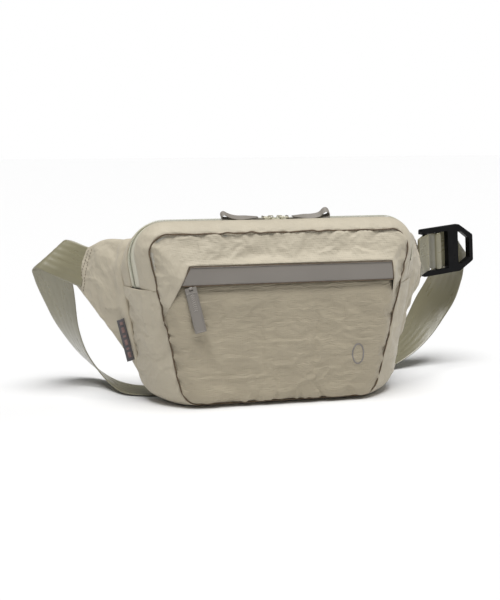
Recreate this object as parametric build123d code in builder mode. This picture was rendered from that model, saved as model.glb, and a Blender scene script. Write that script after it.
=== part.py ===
"""Hip pack with a one-strap belt: a stuffed nylon bag that stands on its bottom panel.

Frame: millimetres, +Z up, +X to the right seen from the front, front face towards -Y.
The origin is the middle of the bottom panel's flat underside.
"""
from build123d import *
from math import cos, radians, sin
import os

os.makedirs("parts", exist_ok=True)

# ---- driving dimensions -------------------------------------------------------------
WEBBING_WIDTH = 38.0
WEBBING_THICKNESS = 1.4
FABRIC = 1.6            # padded nylon panel, lining included
THIN_FABRIC = 1.2       # zipper strips and linings
TAPE = 0.7              # zipper tape
GAP = 0.2               # between sewn neighbours

FRONT_SEAM_Y = -23.0
FRONT_FACE_Y = -34.0
BACK_SEAM_Y = 22.0
BACK_FACE_Y = 34.0
TOP_Z = 168.0           # flat top run, where the main zipper lies
FLOOR_Z = 0.0           # the bottom panel is pressed flat here

# Rounded-trapezoid outlines: bottom half-width, top half-width, bottom z, top z,
# bottom corner radius, top corner radius.
FRONT_SEAM = (92.0, 126.0, 2.5, 160.0, 18.0, 17.0)
GUSSET_FRONT = (104.0, 135.0, -0.4, TOP_Z, 22.0, 25.0)
GUSSET_REAR = (117.0, 145.0, -0.4, TOP_Z, 26.0, 34.0)
BACK_SEAM = (122.0, 148.0, 2.5, 158.0, 28.0, 36.0)
GUSSET_SECTIONS = (
    (FRONT_SEAM_Y, FRONT_SEAM),
    (-10.0, GUSSET_FRONT),
    (10.0, GUSSET_REAR),
    (BACK_SEAM_Y, BACK_SEAM),
)

ZIP_Y = 3.0             # centre line of the main zipper
ZIP_COIL_WIDTH = 2.8
ZIP_SLOT = (-3.7, 7.7)  # y range left open between the two zipper strips
ZIP_END_LEFT_Z = 109.0  # where the zipper is sewn under the lower gusset
ZIP_END_RIGHT_Z = 127.0

BAND_Z = (115.0, 131.5)     # storm flap over the pocket zipper
BAND_X_TOP = (-87.0, 101.5)
BAND_X_BOTTOM = (-95.5, 103.5)
BAND_Y = (-37.0, -36.2)
YOKE_CORNER_Z = 79.0        # where the slanted pocket seams reach the front seam
POCKET_ZIP_Z = 123.0

MAIN_SLIDER_X = 4.2         # each main slider's distance from the middle when closed
MAIN_SLIDER_SIZE = (7.2, 6.6, 1.7)
MAIN_BAIL_TOP = 172.4
PULL_PIVOT_Z = 170.7
PULL_RING_REACH = 7.6
WIRE_RADIUS = 0.55
RIBBON_LENGTH = 46.0
RIBBON_WIDTH = 7.0
RIBBON_THICKNESS = 0.9
RIBBON_CURL = (2.6, 3.6)    # radius of the curled end, left and right

POCKET_SLIDER_X = -87.0
TAB_PIVOT = Vector(POCKET_SLIDER_X, -35.7, 112.4)
TAB_SIZE = (10.5, 1.9, 42.0)
TAB_TILT = 13.0
EYE_RADIUS = 1.5
PIN_RADIUS = 0.6

SIDE_LABEL = ((-139.6, 78.0), (-130.4, 38.5), (-137.4, 36.5), (-146.6, 76.0))    # in XZ
SIDE_LABEL_THICKNESS = 0.9
MARK_CENTRE = (71.5, 45.0)
MARK_RADII = (6.0, 10.0)
MARK_LINE = 1.4

RIGHT_TIP = (Vector(174, 58, 107), Vector(162, 60, 143))    # bottom, top of the right wing's end

BUCKLE_ORIGIN = Vector(181.0, 77.0, 123.5)      # on the anchor bar's axis
BUCKLE_YAW = 15.0
BUCKLE_ROLL = 4.5
RAIL_INNER = 39.4 / 2
RAIL_HEIGHT = 5.0
RAIL_DEPTH = 6.4
ANCHOR_BAR = (4.0, 4.0)     # along the buckle, and through it
WRAP_BAR_X = 15.0
WRAP_BAR = (4.6, 4.0)
WIDE_BAR = (26.6, 39.6)
LOOP_END = 59.0
BAR_CLEARANCE = 0.35


# ---- helpers ------------------------------------------------------------------------
def xz_plane(y):
    """Upright plane at y, with local x along X and local y along Z."""
    return Plane(origin=(0, y, 0), x_dir=(1, 0, 0), z_dir=(0, -1, 0))


def outline(y, section, inset=0.0):
    """A rounded trapezoid on the upright plane at y, pulled in by inset all round."""
    half_low, half_high, z_low, z_high, r_low, r_high = section
    with BuildSketch(xz_plane(y)) as sketch:
        with BuildLine():
            Polyline(
                (-half_low + inset, z_low + inset),
                (half_low - inset, z_low + inset),
                (half_high - inset, z_high - inset),
                (-half_high + inset, z_high - inset),
                close=True,
            )
        make_face()
        fillet(sketch.vertices().sort_by(Axis.Y)[:2], r_low - inset)
        fillet(sketch.vertices().sort_by(Axis.Y)[-2:], r_high - inset)
    return sketch.sketch.faces()[0]


def shrink(section, side, ends):
    """The same outline with its sides and its two ends moved in."""
    half_low, half_high, z_low, z_high, r_low, r_high = section
    return (half_low - side, half_high - side, z_low + ends, z_high - ends, r_low, r_high)


def gusset_loft(inset):
    """The bag's middle, from front seam to back seam, pulled in by inset."""
    with BuildPart() as body:
        loft([outline(y, section, inset) for y, section in GUSSET_SECTIONS], ruled=True)
    return body.part


def ring(outer, inner):
    """A closed band of fabric all round the bag, between two insets."""
    return gusset_loft(outer) - gusset_loft(inner)


def block(x_range, y_range, z_range):
    """A plain cutting box given by its ranges."""
    size = [high - low for low, high in (x_range, y_range, z_range)]
    middle = [(high + low) / 2 for low, high in (x_range, y_range, z_range)]
    return Pos(*middle) * Box(*size, mode=Mode.PRIVATE)


def finish(builder, name):
    """Labels a finished piece and writes it."""
    builder.part.label = name
    export_step(builder.part, f"parts/{name}.step")


def section_plane(edge_a, edge_b, travel):
    """Plane across a band: local x from edge_a to edge_b, normal along its travel."""
    across = (edge_b - edge_a).normalized()
    along = (travel - across * travel.dot(across)).normalized()
    return Plane(origin=(edge_a + edge_b) / 2, x_dir=across, z_dir=along)


WIDE = (-400, 400)


# ---- gusset -------------------------------------------------------------------------
def make_gusset():
    """Lower gusset, the two zipper strips, the zipper and its right end patch."""
    full = ring(0, FABRIC)
    strip = ring(0, THIN_FABRIC)
    tape = ring(THIN_FABRIC + 0.1, THIN_FABRIC + 0.1 + TAPE)
    coil = ring(0.3, 2.2)
    tape_binding = ring(FABRIC + 0.7, FABRIC + 1.5)
    low = ZIP_END_LEFT_Z - 0.4
    half_coil = ZIP_COIL_WIDTH / 2

    with BuildPart() as gusset_lower:
        add(full)
        add(block(WIDE, WIDE, (FLOOR_Z, low)), mode=Mode.INTERSECT)
    finish(gusset_lower, "gusset_lower")

    strips = (
        ("gusset_strip_front", (FRONT_SEAM_Y - 1, ZIP_SLOT[0])),
        ("gusset_strip_rear", (ZIP_SLOT[1], BACK_SEAM_Y + 1)),
    )
    for name, y_range in strips:
        with BuildPart() as gusset_strip:
            add(strip)
            add(block(WIDE, y_range, (ZIP_END_LEFT_Z, 300)), mode=Mode.INTERSECT)
        finish(gusset_strip, name)

    chain = (
        ("zip_tape_front", tape, (ZIP_SLOT[0] - 5, ZIP_Y - half_coil - GAP)),
        ("zip_tape_rear", tape, (ZIP_Y + half_coil + GAP, ZIP_SLOT[1] + 5)),
        ("zip_coil", coil, (ZIP_Y - half_coil, ZIP_Y + half_coil)),
    )
    for name, shell, y_range in chain:
        with BuildPart() as zip_piece:
            add(shell)
            add(block(WIDE, y_range, (ZIP_END_LEFT_Z, 300)), mode=Mode.INTERSECT)
            add(block((50, 400), WIDE, (0, ZIP_END_RIGHT_Z)), mode=Mode.SUBTRACT)
        finish(zip_piece, name)

    for name, y_range in (("binding_front", (-20.0, -14.0)), ("binding_rear", (11.0, 17.0))):
        with BuildPart() as binding:
            add(tape_binding)
            add(block(WIDE, y_range, (-60, 300)), mode=Mode.INTERSECT)
        finish(binding, name)

    with BuildPart() as zip_end_patch:
        add(strip)
        patch_y = (ZIP_SLOT[0] + GAP, ZIP_SLOT[1] - GAP)
        add(block((50, 400), patch_y, (ZIP_END_LEFT_Z, ZIP_END_RIGHT_Z - 0.4)), mode=Mode.INTERSECT)
    finish(zip_end_patch, "zip_end_patch")


# ---- front panels -------------------------------------------------------------------
def front_shell():
    """Crowned front of the bag, hollow behind, from the front seam to the flat face."""
    face = shrink(FRONT_SEAM, 16, 14)
    with BuildPart() as shell:
        loft([outline(FRONT_SEAM_Y - GAP, FRONT_SEAM), outline(FRONT_FACE_Y, face)], ruled=True)
        hollow = [outline(FRONT_SEAM_Y, FRONT_SEAM, FABRIC), outline(FRONT_FACE_Y + FABRIC, face, FABRIC)]
        loft(hollow, ruled=True, mode=Mode.SUBTRACT)
    return shell.part


def prism(points, y_range):
    """Upright prism through the front face with the given XZ outline."""
    with BuildPart() as cutter:
        with BuildSketch(xz_plane(y_range[1])):
            with BuildLine():
                Polyline(*points, close=True)
            make_face()
        extrude(amount=y_range[1] - y_range[0])
    return cutter.part


def pocket_outline(top_z, margin):
    """The pocket's region in XZ: below the slanted seams, up to top_z."""
    share = (top_z - BAND_Z[0]) / (BAND_Z[1] - BAND_Z[0])
    left = BAND_X_BOTTOM[0] + share * (BAND_X_TOP[0] - BAND_X_BOTTOM[0])
    right = BAND_X_BOTTOM[1] + share * (BAND_X_TOP[1] - BAND_X_BOTTOM[1])
    return (
        (left - margin, top_z),
        (BAND_X_BOTTOM[0] - margin, BAND_Z[0]),
        (-111.5 - margin, YOKE_CORNER_Z + margin),
        (-160, YOKE_CORNER_Z + margin),
        (-160, -10),
        (160, -10),
        (160, YOKE_CORNER_Z + margin),
        (108.0 + margin, YOKE_CORNER_Z + margin),
        (BAND_X_BOTTOM[1] + margin, BAND_Z[0]),
        (right + margin, top_z),
    )


def make_front():
    """Yoke, pocket panel, storm flap, pocket zipper, linings and the printed mark."""
    shell = front_shell()
    y_range = (FRONT_FACE_Y - 5, FRONT_SEAM_Y + 5)

    with BuildPart() as front_yoke:
        add(shell)
        add(prism(pocket_outline(BAND_Z[1] + GAP, GAP), y_range), mode=Mode.SUBTRACT)
    finish(front_yoke, "front_yoke")

    with BuildPart() as pocket_panel:
        add(shell)
        add(prism(pocket_outline(BAND_Z[0] + 2.5, -GAP), y_range), mode=Mode.INTERSECT)
    finish(pocket_panel, "pocket_panel")

    flap = (
        (BAND_X_BOTTOM[0], BAND_Z[0]),
        (BAND_X_BOTTOM[1], BAND_Z[0]),
        (BAND_X_TOP[1], BAND_Z[1]),
        (BAND_X_TOP[0], BAND_Z[1]),
    )
    with BuildPart() as storm_flap:
        add(prism(flap, BAND_Y))
        hem = block((BAND_X_TOP[0] + 1, BAND_X_TOP[1] - 1), (BAND_Y[1], FRONT_FACE_Y - GAP),
                    (BAND_Z[1] - 1.4, BAND_Z[1]))
        add(hem)
    finish(storm_flap, "storm_flap")

    tape_y = (FRONT_FACE_Y + 0.9, FRONT_FACE_Y + 1.6)
    tape_x = (BAND_X_TOP[0] + 0.5, BAND_X_TOP[1] - 1)
    half_coil = 1.1
    lower_tape = (BAND_Z[0] + 2.8, POCKET_ZIP_Z - half_coil - GAP)
    upper_tape = (POCKET_ZIP_Z + half_coil + GAP, BAND_Z[1] - 3.0)
    for name, z_range in (("pocket_tape_lower", lower_tape), ("pocket_tape_upper", upper_tape)):
        with BuildPart() as pocket_tape:
            add(block(tape_x, tape_y, z_range))
        finish(pocket_tape, name)

    with BuildPart() as pocket_coil:
        with BuildSketch(Plane.YZ.offset(tape_x[0])):
            with Locations((tape_y[0] + 0.1, POCKET_ZIP_Z)):
                Ellipse(0.75, half_coil)
        extrude(amount=tape_x[1] - tape_x[0])
    finish(pocket_coil, "pocket_coil")

    for name, y in (("front_lining", FRONT_SEAM_Y + 2.2), ("back_lining", BACK_SEAM_Y - 1.0)):
        section = FRONT_SEAM if y < 0 else BACK_SEAM
        with BuildPart() as lining:
            extrude(outline(y, section, FABRIC + 1.0), amount=THIN_FABRIC, dir=(0, -1, 0))
        finish(lining, name)

    with BuildPart() as printed_mark:
        with BuildSketch(xz_plane(FRONT_FACE_Y - 0.05)):
            with Locations(MARK_CENTRE):
                Ellipse(*MARK_RADII)
                Ellipse(*[radius - MARK_LINE for radius in MARK_RADII], mode=Mode.SUBTRACT)
        extrude(amount=0.3)
    finish(printed_mark, "printed_mark")


# ---- back, linings and padding ------------------------------------------------------
def make_back():
    """Crowned back panel over a foam pad."""
    base = shrink(BACK_SEAM, 9, 1)
    face = shrink(BACK_SEAM, 25, 16)
    with BuildPart() as back_panel:
        loft([outline(BACK_SEAM_Y + GAP, base), outline(BACK_FACE_Y, face)], ruled=True)
        hollow = [outline(BACK_SEAM_Y, base, FABRIC), outline(BACK_FACE_Y - FABRIC, face, FABRIC)]
        loft(hollow, ruled=True, mode=Mode.SUBTRACT)
    finish(back_panel, "back_panel")

    with BuildPart() as back_pad:
        inside = FABRIC + 1.5
        pad_top = BACK_FACE_Y - FABRIC - 0.4
        loft([outline(BACK_SEAM_Y + 0.5, base, inside), outline(pad_top, face, inside)], ruled=True)
    finish(back_pad, "back_pad")

    with BuildPart() as inner_pocket:
        wall = outline(BACK_SEAM_Y - 4.0, shrink(BACK_SEAM, 20, 6))
        extrude(wall, amount=THIN_FABRIC, dir=(0, -1, 0))
        add(block(WIDE, WIDE, (105, 300)), mode=Mode.SUBTRACT)
    finish(inner_pocket, "inner_pocket")


# ---- wings --------------------------------------------------------------------------
WING_THICK = 6.5
WING_LEFT = (
    (BACK_SEAM_Y + 0.4, ((-124, 18), (-135.5, 60), (-147.5, 118), (-130, 153))),
    (38.0, ((-157.5, 71.5), (-160, 95), (-160.5, 125), (-152, 150.8))),
    (54.5, ((-182, 106), (-178.8, 118), (-174.8, 130), (-170, 142))),
)
WING_RIGHT = (
    (BACK_SEAM_Y + 0.4, ((124, 18), (135.5, 60), (147.5, 118), (130, 153))),
    (38.0, ((148, 71.5), (153, 95), (154, 125), (147, 150.8))),
    (59.0, ((174, 107), (170.8, 119), (166.8, 131), (162, 143))),
)


def make_wings():
    """Padded wings that carry the belt's load from the back seam to the webbing."""
    for name, sections in (("wing_left", WING_LEFT), ("wing_right", WING_RIGHT)):
        inward = WING_THICK if sections[0][1][0][0] < 0 else -WING_THICK
        with BuildPart() as wing:
            for y, outer in sections:
                inner = [(x + inward, z) for x, z in reversed(outer)]
                with BuildSketch(xz_plane(y)):
                    with BuildLine():
                        Polyline(*outer, *inner, close=True)
                    make_face()
            loft(ruled=True)
        finish(wing, name)

    with BuildPart() as side_label:
        with BuildSketch(xz_plane(BACK_SEAM_Y + 0.1)):
            with BuildLine():
                Polyline(*SIDE_LABEL, close=True)
            make_face()
        extrude(amount=SIDE_LABEL_THICKNESS)
        add(ring(-1, FABRIC), mode=Mode.SUBTRACT)
    finish(side_label, "side_label")


# ---- buckle -------------------------------------------------------------------------
BUCKLE_U = Vector(1, 0, 0).rotate(Axis.Y, -BUCKLE_ROLL).rotate(Axis.Z, BUCKLE_YAW)
BUCKLE_V = Vector(0, 0, 1).rotate(Axis.Y, -BUCKLE_ROLL).rotate(Axis.Z, BUCKLE_YAW)
BUCKLE_PLANE = Plane(origin=BUCKLE_ORIGIN, x_dir=BUCKLE_U, z_dir=BUCKLE_U.cross(BUCKLE_V))
# Local x runs along the buckle, local y up the bars, local z out of its front face.


def on_buckle(u, v, n):
    """A point given in the buckle's own directions."""
    return BUCKLE_ORIGIN + BUCKLE_U * u + BUCKLE_V * v + BUCKLE_PLANE.z_dir * n


def make_buckle():
    """One-piece ladder lock: anchor bar, wrap bar, wide bar and a finger loop."""
    outer = RAIL_INNER + RAIL_HEIGHT
    with BuildPart() as buckle:
        with BuildSketch(BUCKLE_PLANE.offset(-RAIL_DEPTH / 2)):
            with BuildLine():
                Polyline(
                    (-6.5, -outer), (41.5, -outer), (LOOP_END, -15.5), (LOOP_END, 12.0),
                    (41.5, outer), (-6.5, outer), close=True,
                )
            make_face()
            fillet(vertices().group_by(Axis.X)[-1], 3.0)
            fillet(vertices().group_by(Axis.X)[0], 2.0)
            with Locations((WIDE_BAR[0] / 2 - 5, 0)):
                Rectangle(WIDE_BAR[0] + 10, 2 * RAIL_INNER, mode=Mode.SUBTRACT)
            with BuildLine():
                Polyline(
                    (WIDE_BAR[1], -17.5), (44.0, -17.5), (LOOP_END - 4.6, -11.8),
                    (LOOP_END - 4.6, 8.6), (44.0, 17.0), (WIDE_BAR[1], 17.0), close=True,
                )
            make_face(mode=Mode.SUBTRACT)
        extrude(amount=RAIL_DEPTH)
        bars = ((0.0, ANCHOR_BAR), (WRAP_BAR_X, WRAP_BAR))
        for centre, (width, depth) in bars:
            foot = on_buckle(centre, -RAIL_INNER - 0.5, 0)
            with BuildSketch(Plane(origin=foot, x_dir=BUCKLE_U, z_dir=BUCKLE_V)):
                Ellipse(width / 2, depth / 2)
            extrude(amount=2 * RAIL_INNER + 1)
    finish(buckle, "buckle")


# ---- webbing ------------------------------------------------------------------------
def band(stations, width=WEBBING_WIDTH, thickness=WEBBING_THICKNESS):
    """A flat band through (centre, across, along) stations."""
    with BuildPart() as web:
        for centre, across, along in stations:
            with BuildSketch(section_plane(centre - across, centre + across, along)):
                Rectangle(width, thickness)
        loft(ruled=True)
    return web.part


def edges_to_stations(pairs):
    """Turns pairs of edge points into stations, each with its mean travel direction."""
    centres = [(a + b) / 2 for a, b in pairs]
    stations = []
    for i, (a, b) in enumerate(pairs):
        before = centres[max(i - 1, 0)]
        after = centres[min(i + 1, len(pairs) - 1)]
        stations.append((centres[i], b - a, after - before))
    return stations


# Each pair is the band's two edges: the one that lies at the back on the floor first.
STRAP_EDGES = (
    ((-182.3, 54.3, 106), (-170.3, 57.7, 142)),
    ((-206, 61.5, 116.5), (-184, 61.5, 147)),
    ((-218, 66.5, 120.5), (-188, 65.5, 148.5)),
    ((-221, 74, 118.5), (-188.5, 72, 143)),
    ((-218, 84, 108), (-186, 76, 128)),
    ((-208, 100, 82), (-181, 79, 100)),
    ((-192, 115, 51), (-177, 82, 58)),
    ((-175, 119, 27), (-169, 82, 33)),
    ((-158, 114, 11), (-160, 77, 18)),
    ((-143, 96, 3), (-150, 60, 7)),
    ((-128, 76, 1.2), (-138, 40, 1.8)),
    ((-108, 66, 0.9), (-112, 28.5, 0.9)),
    ((-60, 68, 0.9), (-60, 30, 0.9)),
    ((0, 74, 0.9), (0, 36, 0.9)),
    ((60, 88, 0.9), (64, 50, 0.9)),
    ((104, 103, 0.9), (114, 67, 0.9)),
    ((130, 114, 5), (140, 78, 1.8)),
    ((150, 120, 16), (160, 84, 8)),
    ((166, 122, 28), (178, 89, 18)),
    ((180, 123, 46), (196, 95, 33)),
    ((190, 122, 66), (211, 101, 50)),
    ((203, 118, 93), (228, 107, 71)),
    ((207, 115, 113), (238, 111, 89)),
)
STRAP_CUTS = (0, 9, 15)     # the edge pairs where one piece of the belt's model ends


def strap_stations():
    """The belt's stations, ending in its turn behind the buckle's finger loop."""
    pairs = [(Vector(*a), Vector(*b)) for a, b in STRAP_EDGES]
    turn = (
        ((38.5, 11.0, -17.5), (71.0, -25.0, -18.5)),
        ((40.0, 16.0, -12.5), (72.0, -22.5, -13.5)),
        ((40.5, 18.6, -7.5), (62.0, -20.5, -8.5)),
        ((39.8, 19.0, -4.9), (42.0, -19.0, -5.0)),
    )
    pairs += [(on_buckle(*a), on_buckle(*b)) for a, b in turn]
    return edges_to_stations(pairs)


def bar_band(route, name):
    """Webbing that follows (u, n, along u, along n) stations round the buckle's bars."""
    stations = []
    for u, n, along_u, along_n in route:
        along = BUCKLE_U * along_u + BUCKLE_PLANE.z_dir * along_n
        stations.append((on_buckle(u, 0, n), BUCKLE_V, along))
    with BuildPart() as webbing:
        add(band(stations))
    finish(webbing, name)


def turn_round_bar(bar_x, bar, start, end):
    """Stations of webbing that turns over a bar's front, from start to end degrees."""
    depth = bar[1] / 2 + BAR_CLEARANCE + WEBBING_THICKNESS / 2
    reach = bar[0] / 2 + BAR_CLEARANCE + WEBBING_THICKNESS / 2
    step = 30 if end > start else -30
    route = []
    for degrees in range(start, end + step, step):
        angle = radians(degrees)
        turn = 1 if step > 0 else -1
        route.append((
            bar_x + reach * cos(angle), depth * sin(angle),
            -turn * reach * sin(angle), turn * depth * cos(angle),
        ))
    return route


def make_webbing():
    """The belt in its laid-out pieces, its wrap on the buckle and the anchor loop."""
    stations = strap_stations()
    ends = STRAP_CUTS[1:] + (len(stations) - 1,)
    for name, first, last in zip(("strap_left", "strap_floor", "strap_right"), STRAP_CUTS, ends):
        with BuildPart() as strap:
            add(band(stations[first:last + 1]))
        finish(strap, name)

    behind = -RAIL_DEPTH / 2 - BAR_CLEARANCE - WEBBING_THICKNESS / 2
    route = [
        (WIDE_BAR[1] - 0.6, behind, -1.0, 0.0),
        (WIDE_BAR[0] - 2.0, behind, -1.0, 0.15),
        (WRAP_BAR_X + WRAP_BAR[0] / 2 + 2.4, -1.8, -0.6, 0.8),
    ]
    route += turn_round_bar(WRAP_BAR_X, WRAP_BAR, 0, 180)
    route.append((WRAP_BAR_X - 4.6, -8.5, -0.1, -1.0))
    bar_band(route, "strap_wrap")

    with BuildPart() as anchor_loop:
        route = turn_round_bar(0.0, ANCHOR_BAR, 50, -130)
        loop = []
        for u, n, along_u, along_n in route:
            loop.append((on_buckle(u, 0, n), BUCKLE_V, BUCKLE_U * along_u + BUCKLE_PLANE.z_dir * along_n))
        tip = (RIGHT_TIP[0] + RIGHT_TIP[1]) / 2
        across = RIGHT_TIP[1] - RIGHT_TIP[0]
        away = BUCKLE_ORIGIN - tip
        aside = away.cross(across).normalized() * (WEBBING_THICKNESS / 2 + 0.15)
        start = tip + away.normalized() * 1.6
        add(band([(start - aside, across, away)] + loop + [(start + aside, across, -away)]))
    finish(anchor_loop, "anchor_loop")


# ---- main zipper's sliders and pulls ------------------------------------------------
def make_main_sliders():
    """Two sliders that meet in the middle, each with a wire ring and a ribbon pull."""
    length, width, height = MAIN_SLIDER_SIZE
    base = TOP_Z + 0.15
    for side, sign in (("left", -1), ("right", 1)):
        centre = sign * MAIN_SLIDER_X
        with BuildPart() as slider:
            with BuildSketch(Plane.XY.offset(base)):
                with Locations((centre, ZIP_Y)):
                    RectangleRounded(length, width, 1.6)
            extrude(amount=height)
            fillet(slider.edges().group_by(Axis.Z)[-1], 0.5)
            with BuildSketch(xz_plane(ZIP_Y + 1.1)):
                with BuildLine():
                    Polyline(
                        (centre - 2.9, base + 1.2), (centre - 2.9, base + 2.6),
                        (centre - 1.9, MAIN_BAIL_TOP), (centre + 1.9, MAIN_BAIL_TOP),
                        (centre + 2.9, base + 2.6), (centre + 2.9, base + 1.2), close=True,
                    )
                make_face()
                with Locations((centre, (base + height + MAIN_BAIL_TOP - 0.7) / 2)):
                    Rectangle(3.6, MAIN_BAIL_TOP - 0.7 - base - height, mode=Mode.SUBTRACT)
            extrude(amount=2.2)
        finish(slider, f"main_slider_{side}")

        half = RIBBON_WIDTH / 2 + 0.6
        reach = centre + sign * PULL_RING_REACH
        corners = [
            Vector(centre, ZIP_Y - half, PULL_PIVOT_Z),
            Vector(reach, ZIP_Y - half, PULL_PIVOT_Z),
            Vector(reach, ZIP_Y + half, PULL_PIVOT_Z),
            Vector(centre, ZIP_Y + half, PULL_PIVOT_Z),
        ]
        with BuildPart() as pull_ring:
            for i, corner in enumerate(corners):
                side_run = corners[(i + 1) % 4] - corner
                with BuildSketch(Plane(origin=corner, z_dir=side_run)):
                    Circle(WIRE_RADIUS)
                extrude(amount=side_run.length)
                with Locations(corner):
                    Sphere(WIRE_RADIUS)
        finish(pull_ring, f"pull_ring_{side}")

        curl = RIBBON_CURL[0 if sign < 0 else 1]
        with BuildPart() as ribbon:
            add(ribbon_band(sign, reach, curl))
        finish(ribbon, f"ribbon_pull_{side}")


def ribbon_band(sign, reach, curl):
    """A ribbon looped round the ring's far wire, laid outward, with a curled end."""
    turn = WIRE_RADIUS + 0.2 + RIBBON_THICKNESS / 2
    route = []
    for degrees in range(100, 331, 23):
        angle = radians(degrees)
        route.append((turn * cos(angle), turn * sin(angle), -sin(angle), cos(angle)))
    lay = -turn * 0.9
    route += [(5.0, lay, 1.0, 0.0), (RIBBON_LENGTH - 12.0, lay, 1.0, 0.0)]
    for degrees in range(-90, 161, 25):
        angle = radians(degrees)
        route.append((
            RIBBON_LENGTH - 9.0 + curl * cos(angle), lay + curl * (1 + sin(angle)),
            -sin(angle), cos(angle),
        ))
    stations = []
    for out, up, along_out, along_up in route:
        centre = Vector(reach + sign * out, ZIP_Y, PULL_PIVOT_Z + up)
        stations.append((centre, Vector(0, 1, 0), Vector(sign * along_out, 0, along_up)))
    return band(stations, RIBBON_WIDTH, RIBBON_THICKNESS)


# ---- pocket zipper's slider and tab -------------------------------------------------
TAB_ACROSS = Vector(cos(radians(TAB_TILT)), 0, sin(radians(TAB_TILT)))
TAB_PLANE = Plane(origin=TAB_PIVOT, x_dir=TAB_ACROSS, z_dir=(0, -1, 0))


def make_pocket_slider():
    """Slider under the storm flap, and the tab that hangs from its eye on a pin."""
    plate_y = (-35.4, -34.05)
    with BuildPart() as pocket_slider:
        with BuildSketch(xz_plane(plate_y[1])):
            with Locations((POCKET_SLIDER_X, POCKET_ZIP_Z)):
                RectangleRounded(9.0, 7.0, 1.8)
        extrude(amount=plate_y[1] - plate_y[0])
        with BuildSketch(xz_plane(-34.6)):
            with Locations((POCKET_SLIDER_X, (POCKET_ZIP_Z + TAB_PIVOT.Z) / 2)):
                Rectangle(2.6, POCKET_ZIP_Z - TAB_PIVOT.Z)
        extrude(amount=0.8)
        eye_start = TAB_PIVOT - TAB_ACROSS * 1.3
        with BuildSketch(Plane(origin=eye_start, z_dir=TAB_ACROSS)):
            Circle(EYE_RADIUS)
        extrude(amount=2.6)
        with BuildSketch(Plane(origin=eye_start - TAB_ACROSS, z_dir=TAB_ACROSS)):
            Circle(PIN_RADIUS + 0.06)
        extrude(amount=4.6, mode=Mode.SUBTRACT)
    finish(pocket_slider, "pocket_slider")

    width, thick, length = TAB_SIZE
    with BuildPart() as tab_pin:
        with BuildSketch(Plane(origin=TAB_PIVOT - TAB_ACROSS * 2.6, z_dir=TAB_ACROSS)):
            Circle(PIN_RADIUS)
        extrude(amount=5.2)
    finish(tab_pin, "tab_pin")

    with BuildPart() as pull_tab:
        with BuildSketch(TAB_PLANE.offset(-thick / 2)):
            with Locations((0, 1.1 - length / 2)):
                RectangleRounded(width, length, 0.8)
            with Locations((0, 0)):
                Rectangle(3.4, 2 * EYE_RADIUS + 1.2, mode=Mode.SUBTRACT)
        extrude(amount=thick)
        with BuildSketch(Plane(origin=TAB_PIVOT - TAB_ACROSS * 2.65, z_dir=TAB_ACROSS)):
            Circle(PIN_RADIUS + 0.02)
        extrude(amount=5.3, mode=Mode.SUBTRACT)
    finish(pull_tab, "pull_tab")


make_gusset()
make_front()
make_back()
make_wings()
make_buckle()
make_webbing()
make_main_sliders()
make_pocket_slider()
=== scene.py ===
"""Looks of the hip pack: camera, light, fabric and trim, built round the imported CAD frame.

Lengths are millimetres in the shared frame until make_piece() writes a mesh in metres.
"""
import math
from itertools import product

import bpy
import numpy as np
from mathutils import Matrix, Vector
from mathutils.bvhtree import BVHTree


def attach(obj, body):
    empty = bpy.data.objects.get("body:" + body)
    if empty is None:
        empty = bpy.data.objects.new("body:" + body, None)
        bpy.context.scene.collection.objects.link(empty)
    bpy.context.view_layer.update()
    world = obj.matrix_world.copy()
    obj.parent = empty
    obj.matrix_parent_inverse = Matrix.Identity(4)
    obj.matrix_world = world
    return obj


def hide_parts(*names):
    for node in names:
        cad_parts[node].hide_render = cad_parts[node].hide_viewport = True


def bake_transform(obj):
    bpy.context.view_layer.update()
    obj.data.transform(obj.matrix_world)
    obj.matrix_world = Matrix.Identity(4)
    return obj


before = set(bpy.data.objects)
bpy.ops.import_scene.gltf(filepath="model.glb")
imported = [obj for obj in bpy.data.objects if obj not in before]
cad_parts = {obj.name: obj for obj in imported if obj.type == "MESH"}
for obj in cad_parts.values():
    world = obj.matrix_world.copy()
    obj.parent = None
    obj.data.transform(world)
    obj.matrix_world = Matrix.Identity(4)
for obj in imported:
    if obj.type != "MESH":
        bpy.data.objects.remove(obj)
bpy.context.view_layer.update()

MM = 0.001
INSIDE = np.array((0.0, 0.0, 82.0))     # a point in the middle of the bag
FORWARD = np.array((0.0, -1.0, 0.0))

# ---- sizes shared with the CAD source ----------------------------------------------
# Rows: y, bottom half-width, top half-width, bottom z, top z, bottom and top corner radius.
LEVELS = np.array((
    (-23.0, 92.0, 126.0, 2.5, 160.0, 18.0, 17.0),
    (-10.0, 104.0, 135.0, 0.0, 168.0, 22.0, 25.0),
    (10.0, 117.0, 145.0, 0.0, 168.0, 26.0, 34.0),
    (22.0, 122.0, 148.0, 2.5, 158.0, 28.0, 36.0),
))
FRONT_SEAM_Y, BACK_SEAM_Y = -23.0, 22.0
FRONT_FACE_Y, BACK_FACE_Y = -34.0, 34.0
ZIP_Y, ZIP_SLOT = 3.0, (-3.7, 7.7)
ZIP_END_LEFT_Z, ZIP_END_RIGHT_Z = 109.0, 127.0
BAND_Z = (115.0, 131.5)
BAND_X_TOP, BAND_X_BOTTOM = (-87.0, 101.5), (-95.5, 103.5)
# The second depth is where the dark cord that paints the shadow round the band lies.
BAND_FACE_Y, BAND_SHADOW_CORD_Y = -36.2, -36.05
YOKE_TIP_Z = 79.0       # where the slanted seams reach the front seam
POCKET_SIDE_Z = 85.0    # where the pocket's sides leave the front seam, hidden under the yoke
TAB_BACK_Y = -34.5      # the pocket's cloth stays behind this, so that the tab can slide over it

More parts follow.
